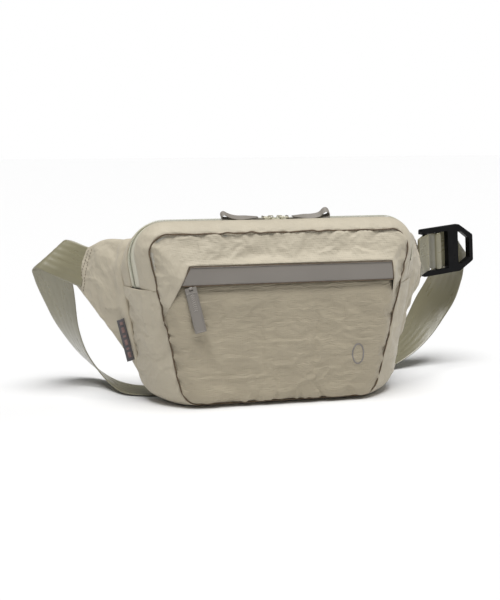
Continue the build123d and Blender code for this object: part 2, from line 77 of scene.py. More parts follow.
BUCKLE_ORIGIN = np.array((181.0, 77.0, 123.5))
YAW, ROLL = math.radians(15.0), math.radians(4.5)
BUCKLE_U = np.array((math.cos(ROLL) * math.cos(YAW), math.cos(ROLL) * math.sin(YAW), math.sin(ROLL)))
BUCKLE_V = np.array((-math.sin(ROLL) * math.cos(YAW), -math.sin(ROLL) * math.sin(YAW), math.cos(ROLL)))
BUCKLE_N = np.cross(BUCKLE_U, BUCKLE_V)


# ---- camera, floor and light --------------------------------------------------------
def add_camera():
    camera = bpy.data.objects.new("camera", bpy.data.cameras.new("camera"))
    bpy.context.scene.collection.objects.link(camera)
    camera.data.lens = 66.0
    camera.data.sensor_width = 36.0
    camera.data.clip_start, camera.data.clip_end = 0.05, 30.0
    camera.location = (-0.2569, -0.9830, 0.2632)
    camera.rotation_euler = (math.radians(80.5), 0.0, math.radians(-13.3))
    bpy.context.scene.camera = camera


def add_sun(name, towards, strength, spread):
    """A soft directional light that shines along towards; spread is its angular size in degrees."""
    light = bpy.data.objects.new(name, bpy.data.lights.new(name, "SUN"))
    bpy.context.scene.collection.objects.link(light)
    light.data.energy = strength
    light.data.angle = math.radians(spread)
    light.rotation_euler = Vector(towards).to_track_quat("-Z", "Y").to_euler()


WHITE, FLOOR_GREY = (1.0, 1.0, 1.0, 1.0), (0.82, 0.82, 0.82, 1.0)
FLOOR_DROP = 0.0006     # metres below z = 0, so that the floor doesn't share a plane with the bag


def add_studio():
    """A pale floor under a wide soft light from above, with weak low fill from both sides."""
    half = 6.0
    mesh = bpy.data.meshes.new("floor")
    corners = [(-half, -half, 0), (half, -half, 0), (half, half, 0), (-half, half, 0)]
    mesh.from_pydata(corners, [], [(0, 1, 2, 3)])
    floor = bpy.data.objects.new("floor", mesh)
    floor.location = (0.0, 0.0, -FLOOR_DROP)
    bpy.context.scene.collection.objects.link(floor)
    material = bpy.data.materials.new("studio_floor")
    material.use_nodes = True
    shader = material.node_tree.nodes["Principled BSDF"]
    shader.inputs["Base Color"].default_value = FLOOR_GREY
    shader.inputs["Roughness"].default_value = 0.9
    mesh.materials.append(material)

    world = bpy.data.worlds.new("studio")
    world.use_nodes = True
    tree = world.node_tree
    ambient = tree.nodes["Background"]
    ambient.inputs["Color"].default_value = WHITE
    ambient.inputs["Strength"].default_value = 0.10
    backdrop = tree.nodes.new("ShaderNodeBackground")
    backdrop.inputs["Strength"].default_value = 1.0
    backdrop.inputs["Color"].default_value = WHITE
    seen = tree.nodes.new("ShaderNodeLightPath")
    either = tree.nodes.new("ShaderNodeMixShader")
    tree.links.new(seen.outputs["Is Camera Ray"], either.inputs[0])
    tree.links.new(ambient.outputs[0], either.inputs[1])
    tree.links.new(backdrop.outputs[0], either.inputs[2])
    tree.links.new(either.outputs[0], tree.nodes["World Output"].inputs["Surface"])
    bpy.context.scene.world = world
    add_sun("overhead", (0.03, 0.26, -1.0), 3.6, 40.0)
    add_sun("left", (1.0, -0.10, -0.70), 0.05, 30.0)
    add_sun("right", (-1.0, -0.05, -0.70), 0.22, 30.0)
    bpy.context.scene.view_settings.view_transform = "Standard"


# ---- curves and grids ---------------------------------------------------------------
def unit(vectors):
    return vectors / np.maximum(np.linalg.norm(vectors, axis=-1, keepdims=True), 1e-9)


def smooth(keys, values, at):
    """Cubic values at the given places, through every row of values; keys rise."""
    keys, values, at = (np.asarray(x, float) for x in (keys, values, at))
    slopes = np.gradient(values, keys, axis=0)
    i = np.clip(np.searchsorted(keys, at, side="right") - 1, 0, len(keys) - 2)
    step = keys[i + 1] - keys[i]
    s = (at - keys[i]) / step
    for _ in values.shape[1:]:
        s, step = s[..., None], step[..., None]
    return (
        (2 * s**3 - 3 * s**2 + 1) * values[i] + (s**3 - 2 * s**2 + s) * step * slopes[i]
        + (3 * s**2 - 2 * s**3) * values[i + 1] + (s**3 - s**2) * step * slopes[i + 1]
    )


def lengths_along(points):
    return np.concatenate(([0.0], np.cumsum(np.linalg.norm(np.diff(points, axis=0), axis=1))))


def at_lengths(points, where):
    along = lengths_along(points)
    return np.stack([np.interp(where, along, points[:, k]) for k in range(points.shape[1])], axis=1)


def resample(points, count):
    points = np.asarray(points, float)
    return at_lengths(points, np.linspace(0.0, lengths_along(points)[-1], count))


CORNER_POINTS = 16


def round_corner(before, corner, after, radius, count=CORNER_POINTS):
    u, w = unit(before - corner), unit(after - corner)
    half = 0.5 * math.acos(float(u @ w))
    start, end = corner + u * radius / math.tan(half), corner + w * radius / math.tan(half)
    centre = corner + unit(u + w) * radius / math.sin(half)
    turn = math.pi - 2 * half
    t = np.linspace(0.0, 1.0, count)[:, None]
    arc = np.sin((1 - t) * turn) * (start - centre) + np.sin(t * turn) * (end - centre)
    return centre + arc / math.sin(turn)


def outline(section, side=0.0, ends=0.0):
    """Rounded trapezoid in XZ from the middle of its bottom, rightwards and round.

    side and ends pull its sides, and its top and bottom, in.
    """
    half_low, half_high, z_low, z_high, r_low, r_high = section
    low, high = z_low + ends, z_high - ends
    corners = np.array((
        (half_low - side, low), (half_high - side, high), (side - half_high, high), (side - half_low, low),
    ))
    start = np.array((0.0, low))
    loop = [start[None]]
    for i, radius in enumerate((r_low, r_high, r_high, r_low)):
        loop.append(round_corner(corners[i - 1], corners[i], corners[(i + 1) % 4], radius))
    loop.append(start[None])
    return np.concatenate(loop)


def crossing(loop, z, side):
    """Length along the loop where it passes height z on the right (side 1) or left (-1)."""
    along = lengths_along(loop)
    for i in range(len(loop) - 1):
        low, high = loop[i], loop[i + 1]
        if low[0] * side > 0 and (low[1] - z) * (high[1] - z) <= 0 and low[1] != high[1]:
            share = (z - low[1]) / (high[1] - low[1])
            return along[i] + share * (along[i + 1] - along[i])
    raise ValueError(f"the outline doesn't pass z {z}")


def part_of(loop, start, end, count):
    """Evenly spaced points on a closed loop from length start on to length end, round past its seam."""
    total = lengths_along(loop)[-1]
    if end < start:
        end += total
    return at_lengths(np.concatenate((loop, loop[1:])), np.linspace(start, end, count))


def level_at(y):
    return smooth(LEVELS[:, 0], LEVELS[:, 1:], y)


def gusset_grid(ys, z_left, z_right, upper, count, inset=0.0):
    """Rows of points round the bag at each y: over the top between two heights, or round below them."""
    rows = []
    for y in ys:
        loop = outline(level_at(y), inset, inset)
        right, left = crossing(loop, z_right, 1), crossing(loop, z_left, -1)
        arc = part_of(loop, right, left, count) if upper else part_of(loop, left, right, count)
        rows.append(np.insert(arc, 1, y, axis=1))
    return np.array(rows)


def coons(bottom, top, left, right):
    """Grid between four sides; bottom and top run rightwards, left and right run upwards."""
    u = np.linspace(0.0, 1.0, len(bottom))[None, :, None]
    v = np.linspace(0.0, 1.0, len(left))[:, None, None]
    corners = (1 - v) * ((1 - u) * bottom[0] + u * bottom[-1]) + v * ((1 - u) * top[0] + u * top[-1])
    return (1 - v) * bottom[None] + v * top[None] + (1 - u) * left[:, None] + u * right[:, None] - corners


def grid_normals(grid):
    down, across = np.gradient(grid, axis=0), np.gradient(grid, axis=1)
    return unit(np.cross(across, down))


def outward(grid):
    """The grid with its rows running so that its normals point away from the bag's middle."""
    facing = (grid_normals(grid) * (grid - INSIDE)).sum()
    return grid if facing > 0 else grid[:, ::-1]


def with_depth(xz, y):
    """XZ points with their y put in."""
    return np.stack((xz[..., 0], y, xz[..., 1]), axis=-1)


def border_gaps(grid):
    """Distance of each grid point from the first and last row and the first and last column."""
    rows = np.linalg.norm(np.diff(grid, axis=0), axis=2)
    columns = np.linalg.norm(np.diff(grid, axis=1), axis=2)
    down = np.concatenate((np.zeros((1, grid.shape[1])), np.cumsum(rows, axis=0)))
    across = np.concatenate((np.zeros((grid.shape[0], 1)), np.cumsum(columns, axis=1)), axis=1)
    return down, down[-1:] - down, across, across[:, -1:] - across


# ---- crumpling ----------------------------------------------------------------------
def value_noise(points, cell, seed):
    """Smooth noise from -1 to 1 whose bumps are about one cell across, the same on each run."""
    scaled = np.asarray(points, float) / np.asarray(cell, float)
    base = np.floor(scaled).astype(np.int64)
    part = scaled - base
    part = part * part * (3 - 2 * part)
    total = np.zeros(scaled.shape[:-1])
    for corner in product((0, 1), repeat=3):
        index = base + corner
        i, j, k = index[..., 0], index[..., 1], index[..., 2]
        code = i * 73856093 ^ j * 19349663 ^ k * 83492791 ^ seed * 26544357
        code = (code & 0x7FFFFFFF) * 1103515245 + 12345 & 0x7FFFFFFF
        code = (code ^ code >> 15) * 22695477 & 0x7FFFFFFF
        weight = np.prod(np.where(corner, part, 1 - part), axis=-1)
        total += weight * ((code >> 8) / 0x7FFFFF * 2 - 1)
    return total


def flat_noise(u, v, seed):
    return value_noise(np.stack((u, v, u * 0), axis=-1), 1.0, seed)


def creases(points, cell, seed):
    """Noise with narrow ridges, from 0 between them to 1 on them."""
    return (1 - np.abs(value_noise(points, cell, seed))) ** 4


def pucker(gap, along, height, reach, pitch, seed):
    """Gathers that run out from a seam and fade, gap being the distance from it."""
    wave = flat_noise(along / pitch, gap / 30.0, seed)
    return height * wave * np.exp(-gap / reach) * (1 - np.exp(-gap / 1.2))


def ease(low, high, value):
    share = np.clip((value - low) / (high - low), 0.0, 1.0)
    return share * share * (3 - 2 * share)


def make_piece(name, points, faces, finish, replaces=(), body="bag", uv=None):
    mesh = bpy.data.meshes.new(name)
    points = np.asarray(points).reshape(-1, 3)
    mesh.from_pydata((points * MM).tolist(), [], faces)
    uv = np.zeros((len(points), 2)) if uv is None else np.asarray(uv).reshape(-1, 2)
    corners = np.array([v for face in faces for v in face])
    layer = mesh.uv_layers.new(name="weave")
    layer.data.foreach_set("uv", (uv[corners] * MM).astype(np.float32).ravel())
    mesh.polygons.foreach_set("use_smooth", [True] * len(faces))
    mesh.materials.append(FINISH[finish])
    mesh.update()
    piece = bpy.data.objects.new(name, mesh)
    bpy.context.scene.collection.objects.link(piece)
    if body:
        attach(piece, body)
    if replaces:
        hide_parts(*replaces)
    return piece


def grid_faces(rows, columns, wrap=False, start=0, flip=False):
    """Quads of a grid; wrap joins its last column to its first."""
    faces = []
    for i in range(rows - 1):
        for j in range(columns if wrap else columns - 1):
            k = (j + 1) % columns
            face = (start + i * columns + j, start + i * columns + k,
                    start + (i + 1) * columns + k, start + (i + 1) * columns + j)
            faces.append(face[::-1] if flip else face)
    return faces


def grid_uv(grid):
    """Lengths across and down the grid, for a weave that follows the cloth."""
    down, _, across, _ = border_gaps(grid)
    middle = across[:, grid.shape[1] // 2][:, None]
    return np.stack((across - middle, down), axis=-1)


def solidify(piece, thickness):
    """Gives a sheet its thickness, towards its inside."""
    modifier = piece.modifiers.new("thickness", "SOLIDIFY")
    modifier.thickness = thickness * MM
    modifier.offset = -1.0
    return piece


def cloth_panel(name, grid, finish, thickness, replaces=()):
    grid = outward(grid)
    piece = make_piece(name, grid, grid_faces(*grid.shape[:2]), finish, replaces, uv=grid_uv(grid))
    return solidify(piece, thickness)


def pad(name, grid, thickness, finish, replaces=()):
    """A closed pad: two skins that meet round the grid's border, thickness apart inside."""
    grid = outward(grid)
    rows, columns = grid.shape[:2]
    normals = grid_normals(grid)
    half = (np.broadcast_to(thickness, (rows, columns)) / 2)[..., None]
    border = np.zeros((rows, columns), bool)
    border[[0, -1]] = border[:, [0, -1]] = True
    skins = np.concatenate(((grid + normals * half).reshape(-1, 3), (grid - normals * half).reshape(-1, 3)))
    flat_border = border.ravel()
    skins[:rows * columns][flat_border] = grid.reshape(-1, 3)[flat_border]
    shared = np.arange(2 * rows * columns)
    shared[rows * columns:][flat_border] = np.flatnonzero(flat_border)
    faces = grid_faces(rows, columns)
    faces += [tuple(int(shared[v]) for v in face) for face in
              grid_faces(rows, columns, start=rows * columns, flip=True)]
    used, index = np.unique(np.array(faces), return_inverse=True)
    faces = [tuple(int(v) for v in face) for face in index.reshape(-1, 4)]
    uv = np.concatenate([grid_uv(grid).reshape(-1, 2)] * 2)
    return make_piece(name, skins[used], faces, finish, replaces, uv=uv[used])


def sweep(name, centres, across, normals, section, finish, replaces=(), body="bag", closed=False):
    """A closed section of (across, normal) offsets carried along a path."""
    rows, columns = len(centres), len(section)
    sideways, outwards = section[None, :, :1], section[None, :, 1:]
    points = centres[:, None] + across[:, None] * sideways + normals[:, None] * outwards
    faces = grid_faces(rows, columns, wrap=True)
    last = (rows - 1) * columns
    if closed:
        faces += [(last + j, last + (j + 1) % columns, (j + 1) % columns, j) for j in range(columns)]
    else:
        faces += [tuple(range(columns))[::-1], tuple(range(last, last + columns))]
    uv = np.stack(np.broadcast_arrays(section[None, :, 0], lengths_along(centres)[:, None]), axis=-1)
    return make_piece(name, points, faces, finish, replaces, body, uv)


def closed_sweep(name, path, out, section, finish, replaces=(), body="bag"):
    """A sweep round a closed path; out is the outward direction, at each point or for all."""
    travel = unit(np.roll(path, -1, axis=0) - np.roll(path, 1, axis=0))
    across = unit(np.cross(travel, np.broadcast_to(out, path.shape)))
    return sweep(name, path, across, unit(np.cross(across, travel)), section, finish, replaces, body, True)


def add_tube(points, faces, centres, first, second, sides):
    """Appends a short capped tube whose ring at each centre is spanned by two directions."""
    base, last = len(points), len(points) + (len(centres) - 1) * sides
    turns = np.linspace(0.0, 2 * math.pi, sides, endpoint=False)
    for centre, u, v in zip(centres, first, second):
        points.extend(centre + u * math.cos(turn) + v * math.sin(turn) for turn in turns)
    faces.extend(grid_faces(len(centres), sides, wrap=True, start=base))
    faces.append(tuple(range(base, base + sides))[::-1])
    faces.append(tuple(range(last, last + sides)))


def round_section(radius, count=8, squash=1.0):
    """Circle of offsets, or an ellipse that is lower by squash."""
    angles = np.linspace(0.0, 2 * math.pi, count, endpoint=False)
    return np.stack((radius * np.cos(angles), radius * squash * np.sin(angles)), axis=1)


def flat_section(width, thickness, ribs, rib_height, count):
    """Section of webbing or ribbon with rounded selvedges and lengthwise ribs."""
    w = np.linspace(-1.0, 1.0, count)
    half = thickness / 2 * (1 - np.abs(w) ** 14) ** 0.5
    wave = rib_height * (0.5 + 0.5 * np.cos(math.pi * ribs * w)) * (1 - np.abs(w) ** 10)
    top = np.stack((w * width / 2, half + wave), axis=1)
    bottom = np.stack((w * width / 2, -half - wave), axis=1)[::-1]
    return np.concatenate((top, bottom[1:-1]))


# ---- materials ----------------------------------------------------------------------
class Finish:
    """A Principled material, with helpers that vary its colour, roughness and relief."""

    def __init__(self, name, colour, roughness, **sockets):
        self.material = bpy.data.materials.new(name)
        self.material.use_nodes = True
        self.tree = self.material.node_tree
        self.shader = self.tree.nodes["Principled BSDF"]
        self.colour = colour
        self.shader.inputs["Base Color"].default_value = (*colour, 1.0)
        self.shader.inputs["Roughness"].default_value = roughness
        for socket, value in sockets.items():
            self.shader.inputs[socket.replace("_", " ")].default_value = value

    def pattern(self, kind, *values):
        """The output of noise or lines, from its name and its arguments."""
        return getattr(self, kind)(*values)

    def node(self, kind, **settings):
        node = self.tree.nodes.new(kind)
        for key, value in settings.items():
            setattr(node, key, value)
        return node

    def coordinates(self, stretch=(1.0, 1.0, 1.0), weave=False):
        """Object coordinates, or lengths across and along the cloth, in metres, times stretch."""
        mapping = self.node("ShaderNodeMapping")
        mapping.inputs["Scale"].default_value = stretch
        source = self.node("ShaderNodeUVMap", uv_map="weave") if weave else self.node("ShaderNodeTexCoord")
        self.tree.links.new(source.outputs["UV" if weave else "Object"], mapping.inputs["Vector"])
        return mapping.outputs["Vector"]

    def noise(self, size, detail=3.0, low=0.3, high=0.7, stretch=(1.0, 1.0, 1.0), weave=False):
        """Noise whose bumps are size metres across, spread to 0 below low and 1 above high."""
        noise = self.node("ShaderNodeTexNoise")
        noise.inputs["Scale"].default_value = 1.0 / size
        noise.inputs["Detail"].default_value = detail
        self.tree.links.new(self.coordinates(stretch, weave), noise.inputs["Vector"])
        spread = self.node("ShaderNodeMapRange")
        spread.inputs["From Min"].default_value = low
        spread.inputs["From Max"].default_value = high
        self.tree.links.new(noise.outputs["Fac"], spread.inputs["Value"])
        return spread.outputs["Result"]

    def lines(self, pitch, direction, distortion=0.0, weave=True):
        """Sine ridges pitch metres apart along the cloth's X or Y."""
        wave = self.node("ShaderNodeTexWave", bands_direction=direction, wave_profile="SIN")
        wave.inputs["Scale"].default_value = math.pi / 10 / pitch
        wave.inputs["Distortion"].default_value = distortion
        wave.inputs["Detail Scale"].default_value = 1.5
        self.tree.links.new(self.coordinates(weave=weave), wave.inputs["Vector"])
        return wave.outputs["Fac"]

    def relief(self, pattern, distance, strength):
        """Stacks one more bump, distance metres high."""
        bump = self.node("ShaderNodeBump")
        bump.inputs["Distance"].default_value = distance
        bump.inputs["Strength"].default_value = strength
        self.tree.links.new(self.pattern(*pattern), bump.inputs["Height"])
        normal = self.shader.inputs["Normal"]
        if normal.is_linked:
            self.tree.links.new(normal.links[0].from_socket, bump.inputs["Normal"])
        self.tree.links.new(bump.outputs["Normal"], normal)
        return self

    def tint(self, pattern, other):
        """Blends the base colour towards another where the pattern is 1."""
        mix = self.node("ShaderNodeMix", data_type="RGBA")
        base = self.shader.inputs["Base Color"]
        if base.is_linked:
            self.tree.links.new(base.links[0].from_socket, mix.inputs[6])
        else:
            mix.inputs[6].default_value = (*self.colour, 1.0)
        mix.inputs[7].default_value = (*other, 1.0)
        self.tree.links.new(self.pattern(*pattern), mix.inputs[0])
        self.tree.links.new(mix.outputs[2], base)
        return self

    def vary_roughness(self, pattern, low, high):
        spread = self.node("ShaderNodeMapRange")
        spread.inputs["To Min"].default_value = low
        spread.inputs["To Max"].default_value = high
        self.tree.links.new(self.pattern(*pattern), spread.inputs["Value"])
        self.tree.links.new(spread.outputs["Result"], self.shader.inputs["Roughness"])
        return self


def shade(colour, share):
    return tuple(channel * share for channel in colour)


NYLON = (0.535, 0.480, 0.372)
# Painted shade: the pocket panel is the same nylon, made darker and warmer to paint the shade that falls on
# the lower front.
NYLON_PAINTED_SHADE = (0.430, 0.375, 0.275)
# Dark brown of the seam thread and stitches; the same colour also paints the shadow line round the band.
THREAD_AND_SHADOW_BROWN = (0.075, 0.050, 0.028)
KHAKI = (0.262, 0.240, 0.150)
GREY_BAND = (0.250, 0.228, 0.203)
RIPSTOP_PITCH = 0.0021      # metres between the heavier threads of the nylon


def crinkled(name, colour, stretch, soft, fine):
    """Ripstop nylon: a grid of heavier threads over soft and fine creases that run along stretch."""
    finish = Finish(name, colour, 0.62, Sheen_Weight=0.18, Sheen_Roughness=0.45, Specular_IOR_Level=0.35)
    finish.tint(("noise", 0.045, 4.0, 0.35, 0.75), shade(colour, 0.88))
    finish.relief(("noise", 0.012, 2.5, 0.3, 0.7, stretch, True), 0.0018, soft)
    finish.relief(("noise", 0.0030, 2.0, 0.4, 0.7, stretch, True), 0.0006, fine)
    finish.relief(("lines", RIPSTOP_PITCH, "X", 0.6), 0.00006, 0.6)
    finish.relief(("lines", RIPSTOP_PITCH, "Y", 0.6), 0.00010, 0.8)
    return finish.relief(("lines", 0.0004, "Y"), 0.00002, 0.5)


def make_finishes():
    """Each finish: colour and gloss, then what varies its colour, relief and roughness."""
    long_tint, long_gloss = (1.0, 0.3, 1.0), (1.0, 0.25, 1.0)     # streaks along the webbing
    made = {
        "nylon": crinkled("crinkled_nylon", NYLON, (0.9, 1.0, 1.0), 0.34, 0.14),
        # The pocket panel's finish: the same crinkled nylon with painted shade in its colour.
        "nylon_painted_shade": crinkled("crinkled_nylon_painted_shade", NYLON_PAINTED_SHADE, (0.42, 1.7, 1.0), 0.26, 0.36),
        "webbing": Finish("belt_webbing", KHAKI, 0.26, Sheen_Weight=0.1, Specular_IOR_Level=1.0,
                          Coat_Weight=0.45, Coat_Roughness=0.3)
        .tint(("noise", 0.03, 3.0, 0.3, 0.7, long_tint, True), shade(KHAKI, 0.82))
        .relief(("lines", 0.0011, "Y", 0.4), 0.00008, 0.6)
        .relief(("lines", 0.0012, "X", 0.3), 0.00005, 0.5)
        .vary_roughness(("noise", 0.012, 3.0, 0.3, 0.7, long_gloss, True), 0.24, 0.36),
        "coated_band": Finish("coated_band", GREY_BAND, 0.42, Specular_IOR_Level=0.5, Coat_Weight=0.08)
        .tint(("noise", 0.05), shade(GREY_BAND, 0.9))
        .relief(("noise", 0.0009, 2.0), 0.00004, 0.5)
        .vary_roughness(("noise", 0.02), 0.36, 0.48),
        "tab_relief": Finish("tab_relief", shade(GREY_BAND, 1.6), 0.35, Specular_IOR_Level=0.7)
        .tint(("noise", 0.003, 2.0), shade(GREY_BAND, 1.3)),
        "ribbon": Finish("ribbon", (0.27, 0.245, 0.215), 0.5, Sheen_Weight=0.15)
        .tint(("lines", 0.0011, "X"), (0.20, 0.18, 0.155))
        .relief(("lines", 0.0009, "Y", 0.3), 0.00007, 0.7)
        .relief(("lines", 0.0012, "X", 0.2), 0.00007, 0.6),
        "zip_tape": Finish("zip_tape", (0.64, 0.615, 0.495), 0.36, Sheen_Weight=0.2, Specular_IOR_Level=0.6)
        .relief(("lines", 0.0008, "Y", 0.2), 0.00005, 0.6)
        .relief(("lines", 0.0008, "X", 0.2), 0.00004, 0.5)
        .tint(("noise", 0.02), (0.57, 0.545, 0.43)),
        "zip_hardware": Finish("zip_metal", (0.66, 0.63, 0.50), 0.32, Metallic=0.25, Specular_IOR_Level=0.6,
                               Coat_Weight=0.3)
        .relief(("noise", 0.004), 0.00003, 0.4)
        .tint(("noise", 0.006, 3.0, 0.45, 0.8), (0.55, 0.52, 0.40))
        .vary_roughness(("noise", 0.003), 0.28, 0.42),
        "zip_coil": Finish("zip_coil", (0.62, 0.63, 0.50), 0.35, Specular_IOR_Level=0.6)
        .tint(("noise", 0.01, 2.0), (0.52, 0.53, 0.41)),
        "buckle_plastic": Finish("buckle_plastic", (0.004, 0.004, 0.0045), 0.26, Specular_IOR_Level=0.12)
        .relief(("noise", 0.0006, 2.0), 0.00002, 0.5)
        .tint(("noise", 0.008, 3.0, 0.45, 0.8), (0.007, 0.007, 0.0075))
        .vary_roughness(("noise", 0.01, 4.0), 0.26, 0.42),
        # Seam thread, also used for the cord that paints the shadow round the band.
        "seam": Finish("thread_and_painted_shadow", THREAD_AND_SHADOW_BROWN, 0.7, Sheen_Weight=0.1)
        .tint(("noise", 0.004), shade(THREAD_AND_SHADOW_BROWN, 1.9))
        .relief(("noise", 0.0008, 2.0), 0.0002, 0.8),
        "back_mesh": Finish("back_mesh", (0.47, 0.43, 0.35), 0.75, Sheen_Weight=0.3)
        .relief(("lines", 0.0024, "X", 0.3), 0.0004, 0.8)
        .relief(("lines", 0.0028, "Y", 0.3), 0.0004, 0.8)
        .tint(("lines", 0.0024, "X", 0.3), (0.36, 0.33, 0.26))
        .relief(("noise", 0.012, 4.0), 0.0008, 0.5),
        "lining": Finish("lining", (0.50, 0.48, 0.42), 0.6, Sheen_Weight=0.15)
        .relief(("noise", 0.010, 5.0), 0.0010, 0.6)
        .tint(("noise", 0.03), (0.42, 0.40, 0.34)),
        "foam": Finish("foam", (0.62, 0.60, 0.54), 0.9)
        .relief(("noise", 0.0012, 2.0), 0.0004, 0.9)
        .tint(("noise", 0.0016, 2.0), (0.50, 0.48, 0.42)),
        "label": Finish("label", (0.075, 0.070, 0.075), 0.6, Sheen_Weight=0.2)
        .relief(("lines", 0.0007, "Y"), 0.00006, 0.6)
        .tint(("noise", 0.004, 2.0), (0.095, 0.088, 0.092)),
        "label_print": Finish("label_print", (0.26, 0.165, 0.155), 0.55)
        .relief(("lines", 0.0007, "Y"), 0.00005, 0.6)
        .tint(("noise", 0.001, 2.0, 0.4, 0.6), (0.20, 0.12, 0.115)),
        "mark": Finish("mark_print", (0.22, 0.205, 0.195), 0.45)
        .tint(("noise", 0.0012, 2.0, 0.45, 0.7), (0.27, 0.25, 0.23))
        .relief(("lines", 0.0021, "Y"), 0.00008, 0.6),
    }
    return {key: finish.material for key, finish in made.items()}


FINISH = make_finishes()


# ---- belt ---------------------------------------------------------------------------
WEBBING_WIDTH, WEBBING_THICKNESS = 38.0, 1.4
# The belt's two edges, as in the CAD source: the one that lies at the back on the floor first.
STRAP_EDGES = (
    ((-176.3, 51.3, 104), (-164.3, 54.7, 140)),
    ((-182.3, 54.3, 106), (-170.3, 57.7, 142)),
    ((-206, 59.0, 116.5), (-184, 66.0, 147)),
    ((-218, 65.0, 120.5), (-188, 70.5, 147.5)),
    ((-221, 74, 118.5), (-188.5, 72, 143)),
    ((-218, 84, 108), (-186, 76, 128)),
    ((-208, 100, 82), (-181, 79, 100)),
    ((-192, 115, 51), (-177, 82, 58)),
    ((-175, 119, 27), (-169, 82, 33)),
    ((-158, 114, 11), (-160, 77, 18)),
    ((-143, 96, 3), (-150, 60, 7)),
    ((-128, 76, 1.2), (-138, 40, 1.8)),
    ((-108, 66, 0.9), (-112, 28.5, 0.9)),
    ((-60, 68, 0.9), (-60, 30, 0.9)),
    ((0, 74, 0.9), (0, 36, 0.9)),
    ((60, 88, 0.9), (64, 50, 0.9)),
    ((104, 103, 0.9), (114, 67, 0.9)),
    ((130, 114, 5), (140, 78, 1.8)),
    ((150, 120, 16), (160, 84, 8)),
    ((166, 122, 28), (178, 89, 18)),
    ((180, 123, 46), (196, 95, 33)),
    ((190, 122, 66), (211, 101, 50)),
    ((203, 118, 93), (228, 107, 71)),
    ((207, 115, 113), (238, 111, 89)),
)
# The same edges in the buckle's own directions, where the belt turns in behind its wide bar.
STRAP_TURN = (
    ((38.5, 11.0, -17.5), (71.0, -25.0, -18.5)),
    ((40.0, 16.0, -12.5), (72.0, -22.5, -13.5)),
    ((40.5, 18.6, -7.5), (62.0, -20.5, -8.5)),
    ((39.8, 19.0, -4.9), (42.0, -19.0, -5.0)),
)


def on_buckle(points):
    """Points given as (along the buckle, up its bars, out of its front)."""
    points = np.asarray(points, float)
    return BUCKLE_ORIGIN + points @ np.array((BUCKLE_U, BUCKLE_V, BUCKLE_N))


def add_belt():
    """The belt from the left wing down across the floor and up to the buckle."""
    edges = np.concatenate((STRAP_EDGES, [[on_buckle(near), on_buckle(far)] for near, far in STRAP_TURN]))
    near, far = edges[:, 0], edges[:, 1]
    middle = (near + far) / 2
    keys = lengths_along(middle)
    at = np.linspace(0.0, keys[-1], 420)
    centres = smooth(keys, middle, at)
    across = unit(smooth(keys, far - near, at))
    normals = unit(np.cross(across, unit(np.gradient(centres, axis=0))))
    section = flat_section(WEBBING_WIDTH, WEBBING_THICKNESS, ribs=6, rib_height=0.13, count=61)
    belt = sweep("belt", centres, across, normals, section, "webbing",
                 ("strap_left", "strap_floor", "strap_right"), body=None)
    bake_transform(belt)


def bar_route(bar_u, reach, depth, start, end):
    """Points (u, n) round a bar of the buckle from start to end degrees."""
    angles = np.radians(np.linspace(start, end, 14))
    return np.stack((bar_u + reach * np.cos(angles), depth * np.sin(angles)), axis=1)


def buckle_band(name, route, replaces, body):
    """Webbing that follows (u, n) points round the buckle's bars."""
    route = resample(route, 90)
    centres = on_buckle(np.stack((route[:, 0], np.zeros(len(route)), route[:, 1]), axis=1))
    across = np.broadcast_to(BUCKLE_V, centres.shape)
    normals = unit(np.cross(across, np.gradient(centres, axis=0)))
    section = flat_section(WEBBING_WIDTH, WEBBING_THICKNESS, ribs=6, rib_height=0.06, count=61)
    return sweep(name, centres, across, normals, section, "webbing", replaces, body)


def add_buckle_webbing():
    """The belt's wrap over the buckle, and the loop that ties the buckle to the right wing."""
    gap = 0.35 + WEBBING_THICKNESS / 2
    wrap = np.concatenate((
        ((39.0, -4.25), (30.0, -4.25), (24.6, -4.0), (20.6, -2.6)),
        bar_route(15.0, 2.3 + gap, 2.0 + gap, -15, 180),
        ((11.3, -3.5), (10.7, -6.0), (10.2, -8.9)),
    ))
    buckle_band("belt_wrap", wrap, ("strap_wrap",), "buckle")

    wing_end = np.array((168.0, 59.0, 125.0)) - BUCKLE_ORIGIN
    tip_u, tip_n = wing_end @ BUCKLE_U, wing_end @ BUCKLE_N
    sewn = 1 + 7.0 / math.hypot(tip_u, tip_n)       # both plies run 7 mm into the wing
    loop = np.concatenate((
        ((sewn * tip_u, sewn * tip_n + 0.8), (tip_u, tip_n + 0.9), (tip_u / 2, tip_n / 2 + 1.6)),
        bar_route(0.0, 2.0 + gap, 2.0 + gap, 110, -110),
        ((tip_u / 2, tip_n / 2 - 1.6), (tip_u, tip_n - 0.9), (sewn * tip_u, sewn * tip_n - 0.8)),
    ))
    buckle_band("buckle_loop", loop, ("anchor_loop",), "bag")


# ---- bag shell ----------------------------------------------------------------------
SIMULATION_SCALE = 10.0     # the cloth solver works at about garment size


